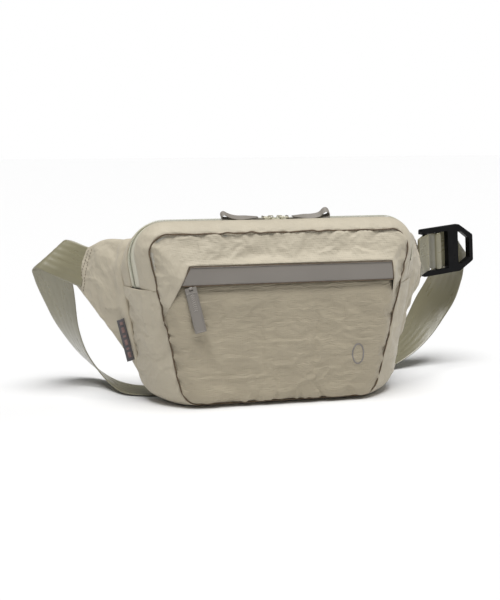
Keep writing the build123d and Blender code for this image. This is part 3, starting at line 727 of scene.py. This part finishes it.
def settle(piece, growth, hold, cap, loose, front=None, frames=14):
    """Simulates a sewn panel whose cloth is a little too large for its seams, and keeps the result.

    The piece's open borders are pinned, the rest is held loosely in place, and no point moves over cap.
    Each point keeps its own share, loose, of its movement. Nothing comes nearer the front than front,
    where the tab passes.
    """
    mesh = piece.data.copy()
    count = len(mesh.vertices)
    rest = np.zeros(count * 3)
    mesh.vertices.foreach_get("co", rest)
    mesh.vertices.foreach_set("co", (rest * SIMULATION_SCALE).astype(np.float32))
    twin = bpy.data.objects.new("settling", mesh)
    bpy.context.scene.collection.objects.link(twin)
    used = np.zeros(len(mesh.edges), int)
    edge_of = np.zeros(len(mesh.loops), int)
    mesh.loops.foreach_get("edge_index", edge_of)
    np.add.at(used, edge_of, 1)
    ends = np.zeros(len(mesh.edges) * 2, int)
    mesh.edges.foreach_get("vertices", ends)
    border = np.unique(ends.reshape(-1, 2)[used == 1])
    group = twin.vertex_groups.new(name="held")
    group.add(list(range(count)), hold, "REPLACE")
    group.add(border.tolist(), 1.0, "REPLACE")
    cloth = twin.modifiers.new("cloth", "CLOTH")
    cloth.settings.quality = 4
    cloth.settings.mass = 0.2
    cloth.settings.tension_stiffness = cloth.settings.compression_stiffness = 12.0
    cloth.settings.shear_stiffness = 6.0
    cloth.settings.bending_stiffness = 0.05
    cloth.settings.vertex_group_mass = "held"
    cloth.settings.pin_stiffness = 1.0
    cloth.settings.shrink_min = -growth
    cloth.settings.effector_weights.gravity = 0.0
    cloth.collision_settings.use_collision = False
    scene = bpy.context.scene
    for frame_number in range(1, frames + 1):
        scene.frame_set(frame_number)
    settled = twin.evaluated_get(bpy.context.evaluated_depsgraph_get()).to_mesh()
    moved = np.zeros(count * 3)
    settled.vertices.foreach_get("co", moved)
    move = (moved / SIMULATION_SCALE - rest).reshape(-1, 3)
    size = np.linalg.norm(move, axis=1, keepdims=True)
    move *= np.minimum(1.0, cap * MM / np.maximum(size, 1e-9)) * loose.reshape(-1, 1)
    place = rest.reshape(-1, 3) + move
    if front is not None:
        place[:, 1] = np.maximum(place[:, 1], front * MM)
    piece.data.vertices.foreach_set("co", place.astype(np.float32).ravel())
    piece.data.update()
    bpy.data.objects.remove(twin)
    scene.frame_set(1)


def crumple(grid, seed, height=1.0, stretch=(1.0, 1.0, 1.0), borders=(1, 1, 1, 1)):
    """Soft creases all over a panel, dying out at the borders that are sewn."""
    gaps = border_gaps(grid)
    free = np.ones(grid.shape[:2])
    for gap, sewn in zip(gaps, borders):
        if sewn:
            free *= 1 - np.exp(-gap / 4.0)
    cell = np.array(stretch)
    waves = (
        0.55 * value_noise(grid, 26.0 * cell, seed)
        + 0.34 * (creases(grid, 15.0 * cell, seed + 1) - 0.35)
        + 0.22 * (creases(grid, 8.0 * cell, seed + 2) - 0.35)
        + 0.10 * value_noise(grid, 4.0 * cell, seed + 3)
    )
    return height * waves * free


def displaced(grid, height):
    return grid + grid_normals(grid) * height[..., None]


def seam_gathers(grid, which, seed, height=1.7, pitch=7.0):
    """Puckers at one of the grid's four borders, with the seam pulled in."""
    gaps = border_gaps(grid)
    gap = gaps[which]
    along = gaps[2] if which < 2 else gaps[0]
    return pucker(gap, along, height, 5.5, pitch, seed) - 1.1 * np.exp(-gap / 1.6)


def add_gusset():
    """Lower gusset and the two strips that frame the zipper."""
    levels = np.linspace(FRONT_SEAM_Y, BACK_SEAM_Y, 27)
    low = outward(gusset_grid(levels, ZIP_END_LEFT_Z, ZIP_END_LEFT_Z, False, 300))
    front, back, _, _ = border_gaps(low)
    above_floor = ease(1.5, 14.0, low[..., 2])
    height = 1.5 * np.sin(math.pi * front / (front + back)) * above_floor
    height += above_floor * (crumple(low, 11, 2.3) + seam_gathers(low, 0, 21, 2.2) + seam_gathers(low, 1, 22))
    lower = cloth_panel("gusset_lower_cloth", displaced(low, height), "nylon", 1.2, ("gusset_lower",))
    settle(lower, 0.03, 0.06, 1.5, above_floor)

    strips = (
        ("gusset_strip_front_cloth", "gusset_strip_front", FRONT_SEAM_Y, ZIP_SLOT[0], 31),
        ("gusset_strip_rear_cloth", "gusset_strip_rear", BACK_SEAM_Y, ZIP_SLOT[1], 41),
    )
    for name, node, seam_y, zip_y, seed in strips:
        grid = outward(gusset_grid(np.linspace(seam_y, zip_y, 15), ZIP_END_LEFT_Z, ZIP_END_LEFT_Z, True, 330))
        seam, fold, start, end = border_gaps(grid)
        height = 0.9 * np.sin(math.pi * seam / (seam + fold)) - 0.8 * np.exp(-fold / 0.7)
        height += crumple(grid, seed, 1.6) + seam_gathers(grid, 0, seed + 5, 2.3, 6.5)
        height *= 1 - 0.5 * np.exp(-np.minimum(start, end) / 3.0)
        cloth_panel(name, displaced(grid, height), "nylon", 1.0, (node,))


LINK_PITCH, LINK_HALF_WIDTH, LINK_RISE, LINK_WIRE = 1.35, 1.35, 0.45, 0.42


def add_zipper():
    """Satin tapes, the coil's links and the stitched patch where the zipper ends on the right."""
    tapes = (
        ("zip_tape_front_satin", "zip_tape_front", ZIP_SLOT[0] - 4.0, ZIP_Y - 0.35),
        ("zip_tape_rear_satin", "zip_tape_rear", ZIP_Y + 0.35, ZIP_SLOT[1] + 4.0),
    )
    for name, node, y_low, y_high in tapes:
        levels = np.linspace(y_low, y_high, 9)
        grid = outward(gusset_grid(levels, ZIP_END_LEFT_Z, ZIP_END_RIGHT_Z, True, 300, inset=1.2))
        height = 0.55 * np.exp(-((grid[..., 1] - ZIP_Y) / 1.5) ** 2)
        cloth_panel(name, displaced(grid, height), "zip_tape", 0.6, (node,))

    loop = outline(level_at(ZIP_Y), 0.35, 0.35)
    start, end = crossing(loop, ZIP_END_RIGHT_Z, 1), crossing(loop, ZIP_END_LEFT_Z, -1)
    path = part_of(loop, start, end, int((end - start) / LINK_PITCH))
    add_coil(np.insert(path, 1, ZIP_Y, axis=1))

    levels = np.linspace(ZIP_SLOT[0] - 0.6, ZIP_SLOT[1] + 0.6, 9)
    rows = []
    for y in levels:
        side = outline(level_at(y))
        low, high = crossing(side, ZIP_END_LEFT_Z - 1, 1), crossing(side, ZIP_END_RIGHT_Z - 0.4, 1)
        rows.append(np.insert(part_of(side, low, high, 16), 1, y, axis=1))
    patch = outward(np.array(rows))
    gaps = np.minimum.reduce(border_gaps(patch))
    height = 0.5 * (1 - np.exp(-gaps / 1.5)) - 0.35 * np.exp(-((gaps - 2.2) / 0.5) ** 2)
    cloth_panel("zip_end_patch_cloth", displaced(patch, height + 0.2), "nylon", 1.0, ("zip_end_patch",))


def add_coil(path):
    """The zipper's coil: one small arched link after another along a path."""
    travel = unit(np.gradient(path, axis=0))
    across = np.broadcast_to(np.array((0.0, 1.0, 0.0)), path.shape)
    out = unit(np.cross(across, travel))
    out *= np.sign((out * (path - INSIDE)).sum(axis=1, keepdims=True))
    angles = np.linspace(-0.15, math.pi + 0.15, 8)
    points, faces = [], []
    for i in range(len(path)):
        centres = [path[i] + across[i] * LINK_HALF_WIDTH * math.cos(a) + out[i] * LINK_RISE * math.sin(a)
                   for a in angles]
        radial = [(across[i] * math.cos(a) + out[i] * math.sin(a)) * LINK_WIRE for a in angles]
        add_tube(points, faces, centres, radial, [travel[i] * LINK_WIRE] * len(angles), 6)
    make_piece("zip_coil_links", points, faces, "zip_coil", ("zip_coil",))


FRONT_LOOP = outline(LEVELS[0, 1:])
# Soft dents in the front: x, z, half-width, half-height, depth, lean in degrees.
FRONT_DENTS = (
    (-113.0, 128.0, 5.0, 14.0, 3.4, 24.0),
    (-104.0, 108.0, 5.0, 12.0, 1.4, -20.0),
    (112.0, 122.0, 3.6, 20.0, 3.0, -6.0),
    (106.0, 98.0, 3.0, 16.0, 1.8, 8.0),
    (-72.0, 58.0, 4.0, 18.0, 2.2, 10.0),
    (-58.0, 72.0, 3.0, 16.0, 0.9, 4.0),
    (-84.0, 48.0, 4.0, 14.0, 1.0, -12.0),
    (30.0, 52.0, 3.5, 26.0, 0.7, -4.0),
    (-20.0, 60.0, 3.0, 24.0, 0.7, 3.0),
)


def gap_to_loop(xz, loop):
    """Distance of XZ points from a closed outline."""
    start, run = loop[:-1], np.diff(loop, axis=0)
    keep = np.linalg.norm(run, axis=1) > 1e-6
    start, run = start[keep], run[keep]
    offset = xz[..., None, :] - start
    share = np.clip((offset * run).sum(-1) / (run * run).sum(-1), 0.0, 1.0)
    return np.linalg.norm(offset - share[..., None] * run, axis=-1).min(axis=-1)


def crown(gap, reach):
    """Rise from 0 at a seam to 1 at reach, steep at the seam and level at its end."""
    share = np.clip(gap / reach, 0.0, 1.0)
    return (1 - (1 - share) ** 2.1) ** 0.8


def front_depth(xz):
    """How far the stuffed front stands out at XZ points, as y."""
    gap = gap_to_loop(xz, FRONT_LOOP)
    x, z = np.abs(xz[..., 0]), xz[..., 1]
    half_low, half_high, z_low, z_high = LEVELS[0, 1:5]
    side_gap = half_low + (half_high - half_low) * (z - z_low) / (z_high - z_low) - x
    full = crown(gap, 9.0) * crown(side_gap, 24.0) * (0.42 + 0.58 * np.clip((z - z_low) / 100.0, 0.0, 1.0))
    full = full * np.clip((z_high - z) / 38.0, 0.0, 1.0)
    depth = FRONT_SEAM_Y + (FRONT_FACE_Y - FRONT_SEAM_Y) * full
    for x, z, half_x, half_z, dent, lean in FRONT_DENTS:
        turn = math.radians(lean)
        dx, dz = xz[..., 0] - x, xz[..., 1] - z
        aside = (dx * math.cos(turn) + dz * math.sin(turn)) / half_x
        along = (dz * math.cos(turn) - dx * math.sin(turn)) / half_z
        depth = depth + dent * np.exp(-aside**2 - along**2)
    return depth


def lift_to_front(xz):
    return with_depth(xz, front_depth(xz))


def corner_middle(loop, corner):
    """Length along an outline to the middle of its rounded corner 0 to 3."""
    return lengths_along(loop)[1 + CORNER_POINTS * corner + CORNER_POINTS // 2]


def front_gathers(grid, seam_gap, height, seed):
    """Puckers all along the front seam, with the seam pulled in."""
    around = np.arctan2(grid[..., 2] - 70.0, grid[..., 0]) * 120.0
    return pucker(seam_gap, around, height, 6.0, 6.5, seed) - 1.3 * np.exp(-seam_gap / 1.4)


def add_pocket_panel():
    """The pocket's front: from the bottom seam up under the storm flap, tucked under the yoke's folds."""
    slant_left = ((BAND_X_BOTTOM[0] - 1.6, BAND_Z[0]), (-94.5, 120.0))
    slant_right = ((BAND_X_BOTTOM[1] + 1.6, BAND_Z[0]), (104.6, 120.0))
    corner_right, corner_left = corner_middle(FRONT_LOOP, 0), corner_middle(FRONT_LOOP, 3)
    columns, rows = 170, 96
    bottom = part_of(FRONT_LOOP, corner_left, corner_right, columns)
    seam_left = part_of(FRONT_LOOP, crossing(FRONT_LOOP, POCKET_SIDE_Z, -1), corner_left, 40)[::-1]
    seam_right = part_of(FRONT_LOOP, corner_right, crossing(FRONT_LOOP, POCKET_SIDE_Z, 1), 40)
    left = resample(np.concatenate((seam_left, slant_left)), rows)
    right = resample(np.concatenate((seam_right, slant_right)), rows)
    top = resample((left[-1], right[-1]), columns)
    grid = outward(lift_to_front(coons(bottom, top, left, right)))
    seam_gap = gap_to_loop(grid[..., [0, 2]], FRONT_LOOP)
    x, z = grid[..., 0], grid[..., 2]
    slanted = ease(78.0, 86.0, z)
    tuck = slanted * 0.8 * np.exp(-np.minimum(*border_gaps(grid)[2:]) / 2.5)
    tuck += 1.6 * ease(102.0, 112.0, z) + 2.6 * ease(112.2, 115.5, z)
    height = crumple(grid, 51, 1.0, (1.6, 1.0, 0.55)) - tuck
    height += front_gathers(grid, seam_gap, 2.3, 57) * (1 - slanted)
    ribs, folds = flat_noise(x / 60.0, z / 2.4, 59), flat_noise(x / 11.0, z / 70.0, 60)
    height += (1 - np.exp(-seam_gap / 12.0)) * (0.16 * ribs + 0.30 * folds)
    proud = ease(55.0, 75.0, z) * (1 - np.exp(-seam_gap / 20.0))
    height = np.where(proud > 0.5, np.minimum(height, 0.55), height)
    # The darker nylon colour of this panel is painted shade for the lower front.
    panel = cloth_panel("pocket_panel_cloth", displaced(grid, height), "nylon_painted_shade", 1.2, ("pocket_panel",))
    settle(panel, 0.02, 0.08, 1.2, 1 - ease(94.0, 106.0, z), TAB_BACK_Y)
    return panel


def add_yoke():
    """The front above and beside the pocket, with a folded lip over the flap and the slanted seams."""
    margin = 0.3        # between the band's top corners and the fold
    fold_left, fold_right = (
        (BAND_X_TOP[0] - margin, BAND_Z[1] + margin), (BAND_X_TOP[1] + margin, BAND_Z[1] + margin),
    )
    inner = (
        ((-110.6, 81.0), (BAND_X_BOTTOM[0], BAND_Z[0]), fold_left), (fold_left, fold_right),
        (fold_right, (BAND_X_BOTTOM[1], BAND_Z[0]), (107.4, 81.0)),
    )
    tip_left, tip_right = (crossing(FRONT_LOOP, YOKE_TIP_Z, side) for side in (-1, 1))
    corner_left, corner_right = corner_middle(FRONT_LOOP, 2), corner_middle(FRONT_LOOP, 1)
    counts = (60, 130, 60)
    outer = (
        part_of(FRONT_LOOP, corner_left, tip_left, counts[0])[::-1],
        part_of(FRONT_LOOP, corner_right, corner_left, counts[1])[::-1],
        part_of(FRONT_LOOP, tip_right, corner_right, counts[2])[::-1],
    )
    near = np.concatenate([resample(line, n)[i > 0:] for i, (line, n) in enumerate(zip(inner, counts))])
    far = np.concatenate([line[i > 0:] for i, line in enumerate(outer)])
    rows = 30
    share = np.linspace(0.0, 1.0, rows)[:, None, None]
    flat = near[None] * (1 - share) + far[None] * share
    grid = lift_to_front(flat)
    from_fold = np.linalg.norm(flat - near[None], axis=-1)
    lip_height = 0.2 + 0.7 * ease(80.0, 92.0, flat[..., 1]) + 3.0 * ease(98.0, 116.0, flat[..., 1])
    lip = lip_height * np.exp(-(from_fold / 6.5) ** 2) - 0.9 * np.exp(-(from_fold / 0.55) ** 2)
    grid[..., 1] -= lip
    grid = outward(grid)
    flipped = not np.allclose(grid[0, 0], lift_to_front(flat)[0, 0] - np.array((0, lip[0, 0], 0)))
    seam_gap = gap_to_loop(grid[..., [0, 2]], FRONT_LOOP)
    height = crumple(grid, 71, 1.5, (1.3, 1.0, 1.0), (0, 1, 1, 1))
    fold_gap = from_fold[:, ::-1] if flipped else from_fold
    height *= 1 - 0.8 * np.exp(-fold_gap / 5.0)
    height += front_gathers(grid, seam_gap, 2.7, 77)
    height *= ease(0.0, 5.0, np.minimum(*border_gaps(grid)[2:]))     # flat at the two tips
    yoke = cloth_panel("front_yoke_cloth", displaced(grid, height), "nylon", 1.1, ("front_yoke",))
    settle(yoke, 0.02, 0.06, 1.1, ease(4.0, 10.0, fold_gap))


def add_storm_flap():
    """The coated band over the pocket's zipper, hemmed at its top and slightly bowed."""
    columns, rows = 150, 18
    left = resample(((BAND_X_BOTTOM[0], BAND_Z[0]), (BAND_X_TOP[0], BAND_Z[1])), rows)
    right = resample(((BAND_X_BOTTOM[1], BAND_Z[0]), (BAND_X_TOP[1], BAND_Z[1])), rows)
    bottom, top = resample((left[0], right[0]), columns), resample((left[-1], right[-1]), columns)
    flat = coons(bottom, top, left, right)
    share = np.clip((flat[..., 1] - BAND_Z[0]) / (BAND_Z[1] - BAND_Z[0]), 0.0, 1.0)
    depth = BAND_FACE_Y - 0.35 * np.sin(math.pi * share) ** 0.7 + 0.9 * share**6
    depth += 0.12 * flat_noise(flat[..., 0] / 38.0, share, 81)
    gap = np.minimum.reduce(border_gaps(np.insert(flat, 1, 0.0, axis=-1)))
    depth += 0.30 * np.exp(-gap / 0.5)
    cloth_panel("storm_flap_band", with_depth(flat, depth), "coated_band", 0.8, ("storm_flap",))


def add_band_shadow_cord():
    """Painted shadow: a thin dark cord all round the band where it is sewn in, standing in for the shadow gap
    at its edges.
    """
    low, high = BAND_Z[0] - 0.4, BAND_Z[1]
    corners = (
        (BAND_X_BOTTOM[0], low), (BAND_X_BOTTOM[1], low), (BAND_X_TOP[1], high), (BAND_X_TOP[0], high),
        (BAND_X_BOTTOM[0], low),
    )
    path = np.insert(resample(corners, 361)[:-1], 1, BAND_SHADOW_CORD_Y, axis=1)
    # The seam finish's dark brown here paints the shadow gap round the band.
    closed_sweep("band_shadow_cord", path, FORWARD, round_section(0.42), "seam")


def add_seam_cord(name, level, radius, seed):
    """The puckered seam line all round the bag at one level."""
    loop = outline(LEVELS[level, 1:])
    total = lengths_along(loop)[-1]
    count = 700
    ring = part_of(loop, 0.0, total * (count - 1) / count, count)
    path = np.insert(ring, 1, LEVELS[level, 0], axis=1)
    turn = np.linspace(0.0, 2 * math.pi, count, endpoint=False)
    circle = np.stack((np.cos(turn), np.sin(turn), turn * 0), axis=1) * total / (2 * math.pi)
    sideways, along_y = value_noise(circle, 7.0, seed), value_noise(circle, 9.0, seed + 1)
    out = unit(path - np.array((0.0, path[0, 1], INSIDE[2])))
    above_floor = ease(2.0, 9.0, path[:, 2])
    path = path + out * (0.95 * sideways * above_floor - 0.5)[:, None]
    path[:, 1] += 0.9 * along_y
    path[:, 2] = np.maximum(path[:, 2], radius + 0.1)
    closed_sweep(name, path, out, round_section(radius), "seam")


def add_back():
    """The crowned back panel with its sewn channels."""
    loop = outline(LEVELS[3, 1:], 6.8, 1.0)
    corners = [corner_middle(loop, corner) for corner in range(4)]
    columns, rows = 150, 96
    bottom = part_of(loop, corners[3], corners[0], columns)
    right = part_of(loop, corners[0], corners[1], rows)
    top = part_of(loop, corners[1], corners[2], columns)[::-1]
    left = part_of(loop, corners[2], corners[3], rows)[::-1]
    flat = coons(bottom, top, left, right)
    gap = gap_to_loop(flat, loop)
    depth = BACK_SEAM_Y + 0.2 + (BACK_FACE_Y - BACK_SEAM_Y - 0.2) * crown(gap, 22.0)
    inside = ease(16.0, 24.0, gap)
    for x in (-52.0, 0.0, 52.0):        # the channels, fanned a little upwards
        depth -= 2.6 * np.exp(-((flat[..., 0] - x * (1 + flat[..., 1] / 700.0)) / 2.6) ** 2) * inside
    grid = outward(with_depth(flat, depth))
    height = np.minimum(crumple(grid, 91, 0.6), 0.2) - 0.4
    panel = cloth_panel("back_panel_mesh", displaced(grid, height), "back_mesh", 1.2, ("back_panel",))


# ---- wings --------------------------------------------------------------------------
# Outlines of each wing where it bends and at its end: y, then four (x, z) points from low to high.
WINGS = {
    "left": (
        (38.0, ((-157.5, 71.5), (-160, 95), (-160.5, 125), (-152, 150.8))),
        (54.5, ((-182, 106), (-178.8, 118), (-174.8, 130), (-170, 142))),
    ),
    "right": (
        (38.0, ((148, 71.5), (153, 95), (154, 125), (147, 150.8))),
        (59.0, ((174, 107), (170.8, 119), (166.8, 131), (162, 143))),
    ),
}


def add_wings():
    """Padded wings from the back seam to the belt, creased where they bend."""
    for seed, (side, sections) in enumerate(WINGS.items()):
        rows, columns = 70, 76
        sign = -1 if side == "left" else 1
        seam = outline(LEVELS[3, 1:], 2.0, 2.0)
        ends = sorted((crossing(seam, 16.0, sign), crossing(seam, 151.0, sign)))
        root_line = np.insert(part_of(seam, *ends, columns), 1, BACK_SEAM_Y - 1.0, axis=1)
        lines = [root_line[::sign]]
        for y, points in sections:
            points = np.insert(np.array(points, float), 1, y, axis=1)
            keys = lengths_along(points)
            lines.append(smooth(keys, points, np.linspace(0.0, keys[-1], columns)))
        grid = outward(smooth((0.0, 0.48, 1.0), lines, np.linspace(0.0, 1.0, rows)))
        grid = displaced(grid, -3.2 * ease(0.0, 18.0, border_gaps(grid)[0]))
        root, tip, low, high = border_gaps(grid)
        edge = np.minimum(low, high)
        full = 3.4 + 3.0 * ease(0.0, 22.0, tip)
        thickness = full * np.sqrt(1 - (1 - np.clip(edge / 4.5, 0.0, 1.0)) ** 2) * ease(-8.0, 6.0, root)
        height = crumple(grid, 110 + 10 * seed, 3.0)
        bend = np.exp(-((high - 14.0) / 13.0) ** 2) * ease(2.0, 14.0, root) * ease(2.0, 16.0, tip)
        height += 3.4 * bend * value_noise(grid, (9.0, 9.0, 26.0), 113 + seed)
        thickness = thickness + 2 * np.maximum(height, -thickness / 3) * (thickness > 0.5) * 0.35
        grid = displaced(grid, height * 0.65)
        skin = grid + grid_normals(grid) * (thickness / 2)[..., None]
        for k, reach in enumerate((4.5, 8.0)):
            row = int(np.abs(tip[:, columns // 2] - reach).argmin())
            add_stitches(f"wing_{side}_stitch_{k}", skin[row, 5:-5], grid_normals(grid)[row, 5:-5])
        wing = pad(f"wing_{side}_pad", grid, thickness, "nylon", (f"wing_{side}",))


# ---- trim ---------------------------------------------------------------------------
SLIDER_X, PULL_PIVOT_Z, RING_REACH, WIRE_RADIUS = 4.2, 170.7, 7.6, 0.55
RIBBON_LENGTH, RIBBON_WIDTH, RIBBON_THICKNESS = 46.0, 7.0, 0.9
TAB_TILT = math.radians(13.0)
TAB_PIVOT = np.array((-87.0, -35.7, 112.4))
TAB_ACROSS = np.array((math.cos(TAB_TILT), 0.0, math.sin(TAB_TILT)))
TAB_DOWN = np.array((math.sin(TAB_TILT), 0.0, -math.cos(TAB_TILT)))
TAB_SIZE = (10.5, 1.9, 42.0)


def add_ribbons():
    """The two ribbon pulls, looped on their rings and curled at their loose ends."""
    # Side, radius of the loose end's loop, its height and how far the ribbon leans to the viewer.
    pulls = ((-1, "left", 2.5, 5.2, 0.50), (1, "right", 3.2, 6.8, 0.62))
    for sign, side, curl, rise, lean in pulls:
        turn = WIRE_RADIUS + 0.12 + RIBBON_THICKNESS / 2
        ring = np.radians(np.linspace(75, 285, 14))
        around_ring = np.stack((turn * np.cos(ring), turn * np.sin(ring)), axis=1)
        end = np.radians(np.linspace(-80, 130, 14))
        middle = np.array((RIBBON_LENGTH - 9.0, rise - 0.6 - curl))
        around_end = middle + curl * np.stack((np.cos(end), np.sin(end)), axis=1)
        lower = ((9.0, -0.75), (20.0, -0.95), (30.0, -0.85))
        upper = ((31.0, 1.9), (25.0, 0.45), (14.0, 0.35), (5.0, 0.55))
        route = np.concatenate((around_ring, lower, around_end, upper))
        keys = lengths_along(route)
        route = smooth(keys, route, np.linspace(0.0, keys[-1], 150))
        share = np.clip(route[:, 0] / RIBBON_LENGTH, 0.0, 1.0)
        tilt = lean * ease(0.05, 0.45, share)
        reach = sign * (SLIDER_X + RING_REACH)
        centres = np.stack(
            (reach + sign * route[:, 0], ZIP_Y - 0.8 * share, PULL_PIVOT_Z + route[:, 1]), axis=1)
        across = unit(np.stack((0 * share, np.cos(tilt), np.sin(tilt)), axis=1))
        normals = unit(np.cross(across, np.gradient(centres, axis=0)))
        section = flat_section(RIBBON_WIDTH, 0.75, ribs=4, rib_height=0.06, count=25)
        ribbon = sweep(f"ribbon_{side}_woven", centres, across, normals, section, "ribbon",
                       (f"ribbon_pull_{side}",), f"pull_{side}")


def add_rings():
    """The wire rings that carry the ribbons, with rounded corners."""
    radius, corner = 0.72, 1.5
    half = RIBBON_WIDTH / 2 + 0.7
    for sign, side in ((-1, "left"), (1, "right")):
        square = np.array(((0.0, -half), (RING_REACH, -half), (RING_REACH, half), (0.0, half)))
        loop = [round_corner(square[i - 1], square[i], square[(i + 1) % 4], corner, 8) for i in range(4)]
        loop = resample(np.concatenate(loop + [loop[0][:1]]), 81)[:-1]
        x, y = sign * (SLIDER_X + loop[:, 0]), ZIP_Y + loop[:, 1]
        path = np.stack((x, y, np.full(len(loop), PULL_PIVOT_Z)), axis=1)
        closed_sweep(f"pull_{side}_wire", path, (0.0, 0.0, 1.0), round_section(radius, 10), "zip_hardware",
                     (f"pull_ring_{side}",), f"pull_{side}")


# Where each bar starts down the label, and its length, as shares of the label's length.
LABEL_BARS = ((0.06, 0.07), (0.19, 0.13), (0.38, 0.05), (0.49, 0.13), (0.68, 0.05), (0.79, 0.13))


def add_label():
    """The side label: a folded woven strip in the back seam, with a generic striped print."""
    corners = np.array(((-139.6, 78.0), (-130.4, 38.5), (-137.4, 36.5), (-146.6, 76.0)))
    columns, rows = 12, 44
    near, far = resample((corners[0], corners[1]), rows), resample((corners[3], corners[2]), rows)
    share = np.linspace(0.0, 1.0, columns)[None, :, None]
    flat = near[:, None] * (1 - share) + far[:, None] * share
    ripple = flat_noise(flat[..., 0] / 9, flat[..., 1] / 12, 131)
    grid = with_depth(flat, 21.4 - 0.7 * np.sin(math.pi * share[..., 0]) + 0.3 * ripple)
    if grid_normals(grid)[..., 1].mean() > 0:
        grid = grid[:, ::-1]
    label = make_piece("side_label_woven", grid, grid_faces(*grid.shape[:2]), "label", ("side_label",),
                       uv=grid_uv(grid))
    solidify(label, 0.8)
    for i, (start, length) in enumerate(LABEL_BARS):
        u = np.linspace(0.30, 0.70, 6)[None, :]
        v = np.linspace(start, start + length, 7)[:, None]
        bar = grid_at(grid, v, u)
        bar = bar + grid_normals(bar) * 0.10
        solidify(make_piece(f"label_bar_{i}", bar, grid_faces(7, 6), "label_print", uv=grid_uv(bar)), 0.14)


def grid_at(grid, v, u):
    """Points of a grid at shares v down and u across."""
    rows, columns = grid.shape[:2]
    v, u = np.broadcast_arrays(v * (rows - 1), u * (columns - 1))
    i, j = np.minimum(v.astype(int), rows - 2), np.minimum(u.astype(int), columns - 2)
    s, t = (v - i)[..., None], (u - j)[..., None]
    return ((1 - s) * ((1 - t) * grid[i, j] + t * grid[i, j + 1])
            + s * ((1 - t) * grid[i + 1, j] + t * grid[i + 1, j + 1]))


def surface_of(piece):
    """A ray target for a finished piece, in metres, its modifiers left out."""
    mesh = piece.data
    places = [v.co.copy() for v in mesh.vertices]
    return BVHTree.FromPolygons(places, [tuple(p.vertices) for p in mesh.polygons])


def on_front(tree, x, z):
    """The front surface's y at (x, z)."""
    return tree.ray_cast(Vector((x * MM, -0.08, z * MM)), Vector((0.0, 1.0, 0.0)))[0].y / MM


def add_mark(tree):
    """The small printed ring low on the pocket, laid on the cloth."""
    angles = np.linspace(0.0, 2 * math.pi, 72, endpoint=False)
    rings = []
    for across, up in ((4.6, 8.6), (5.3, 9.3), (6.0, 10.0)):
        x, z = 71.5 + across * np.cos(angles), 45.0 + up * np.sin(angles)
        rings.append(np.stack((x, [on_front(tree, a, b) - 0.12 for a, b in zip(x, z)], z), axis=1))
    mark = make_piece("printed_ring", rings, grid_faces(3, 72, wrap=True), "mark", ("printed_mark",))
    mark.modifiers.new("thickness", "SOLIDIFY").thickness = 0.1 * MM


STITCH_PITCH, STITCH_LENGTH, STITCH_RADIUS = 3.0, 2.1, 0.22


def add_stitches(name, path, out):
    """A run of short thread stitches along a path, standing on its outward directions."""
    along = lengths_along(path)
    share = np.linspace(0.0, 1.0, 4)
    bow = STITCH_RADIUS * (1.6 * np.sin(math.pi * share) - 0.3)
    points, faces = [], []
    for start in np.arange(STITCH_PITCH / 2, along[-1] - STITCH_LENGTH, STITCH_PITCH):
        at = start + share * STITCH_LENGTH
        lift = np.stack([np.interp(at, along, out[:, k]) for k in range(3)], axis=1)
        centres = at_lengths(path, at) + lift * bow[:, None]
        side = unit(np.cross(unit(np.gradient(centres, axis=0)), lift))
        add_tube(points, faces, centres, side * STITCH_RADIUS, lift * STITCH_RADIUS, 5)
    make_piece(name, points, faces, "seam")


def add_tab_relief():
    """Raised rim and generic chevrons on the pocket's pull tab."""
    width, thick, length = TAB_SIZE
    face = TAB_PIVOT + FORWARD * thick / 2
    top = -1.1
    half, rim_top, rim_low = width / 2 - 0.75, top + 5.2, top + length - 0.8
    loop = ((-half, rim_top), (half, rim_top), (half, rim_low), (-half, rim_low), (-half, rim_top))
    loop = resample(loop, 161)[:-1]
    path = face + loop[:, :1] * TAB_ACROSS + loop[:, 1:] * TAB_DOWN
    closed_sweep("tab_rim", path, FORWARD, round_section(0.45, 8, 0.8), "coated_band", body="pocket_tab")
    chevron = resample(((-1.7, 0.55), (0.0, -0.35), (1.7, 0.55)), 9)
    points, faces = [], []
    for k in range(9):
        centres = face + chevron[:, :1] * TAB_ACROSS + (top + 7.0 + k * 1.75 + chevron[:, 1:]) * TAB_DOWN
        add_tube(points, faces, centres, [TAB_DOWN * 0.33] * 9, [FORWARD * 0.28] * 9, 6)
    make_piece("tab_chevrons", points, faces, "tab_relief", body="pocket_tab")


def dress_cad_nodes():
    """Gives each CAD node that stays its finish, and rounds the edges of the rigid ones (mm)."""
    finishes = {
        "buckle_plastic": {"buckle": 0.7},
        "zip_hardware": {"main_slider_left": 0.25, "main_slider_right": 0.25, "tab_pin": 0.0},
        "coated_band": {"pocket_slider": 0.2, "pull_tab": 0.25},
        "lining": dict.fromkeys(
            ("front_lining", "back_lining", "inner_pocket", "binding_front", "binding_rear"), 0.0),
        "foam": {"back_pad": 0.0},
        "zip_tape": {"pocket_tape_lower": 0.0, "pocket_tape_upper": 0.0},
        "zip_coil": {"pocket_coil": 0.0},
    }
    for finish, nodes in finishes.items():
        for name, radius in nodes.items():
            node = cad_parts[name]
            for slot in node.material_slots:
                slot.material = FINISH[finish]
            if radius:
                bevel = node.modifiers.new("edge", "BEVEL")
                bevel.width = radius * MM
                bevel.segments = 3
                bevel.limit_method = "ANGLE"
                bevel.angle_limit = math.radians(40)
                bevel.harden_normals = True


add_camera()
add_studio()
add_belt()
add_buckle_webbing()
add_gusset()
add_zipper()
pocket = add_pocket_panel()
add_yoke()
add_storm_flap()
add_band_shadow_cord()
add_back()
add_seam_cord("front_seam_cord", 0, 0.72, 141)
add_seam_cord("back_seam_cord", 3, 0.55, 151)
add_wings()
add_rings()
add_ribbons()
add_label()
add_mark(surface_of(pocket))
add_tab_relief()
dress_cad_nodes()
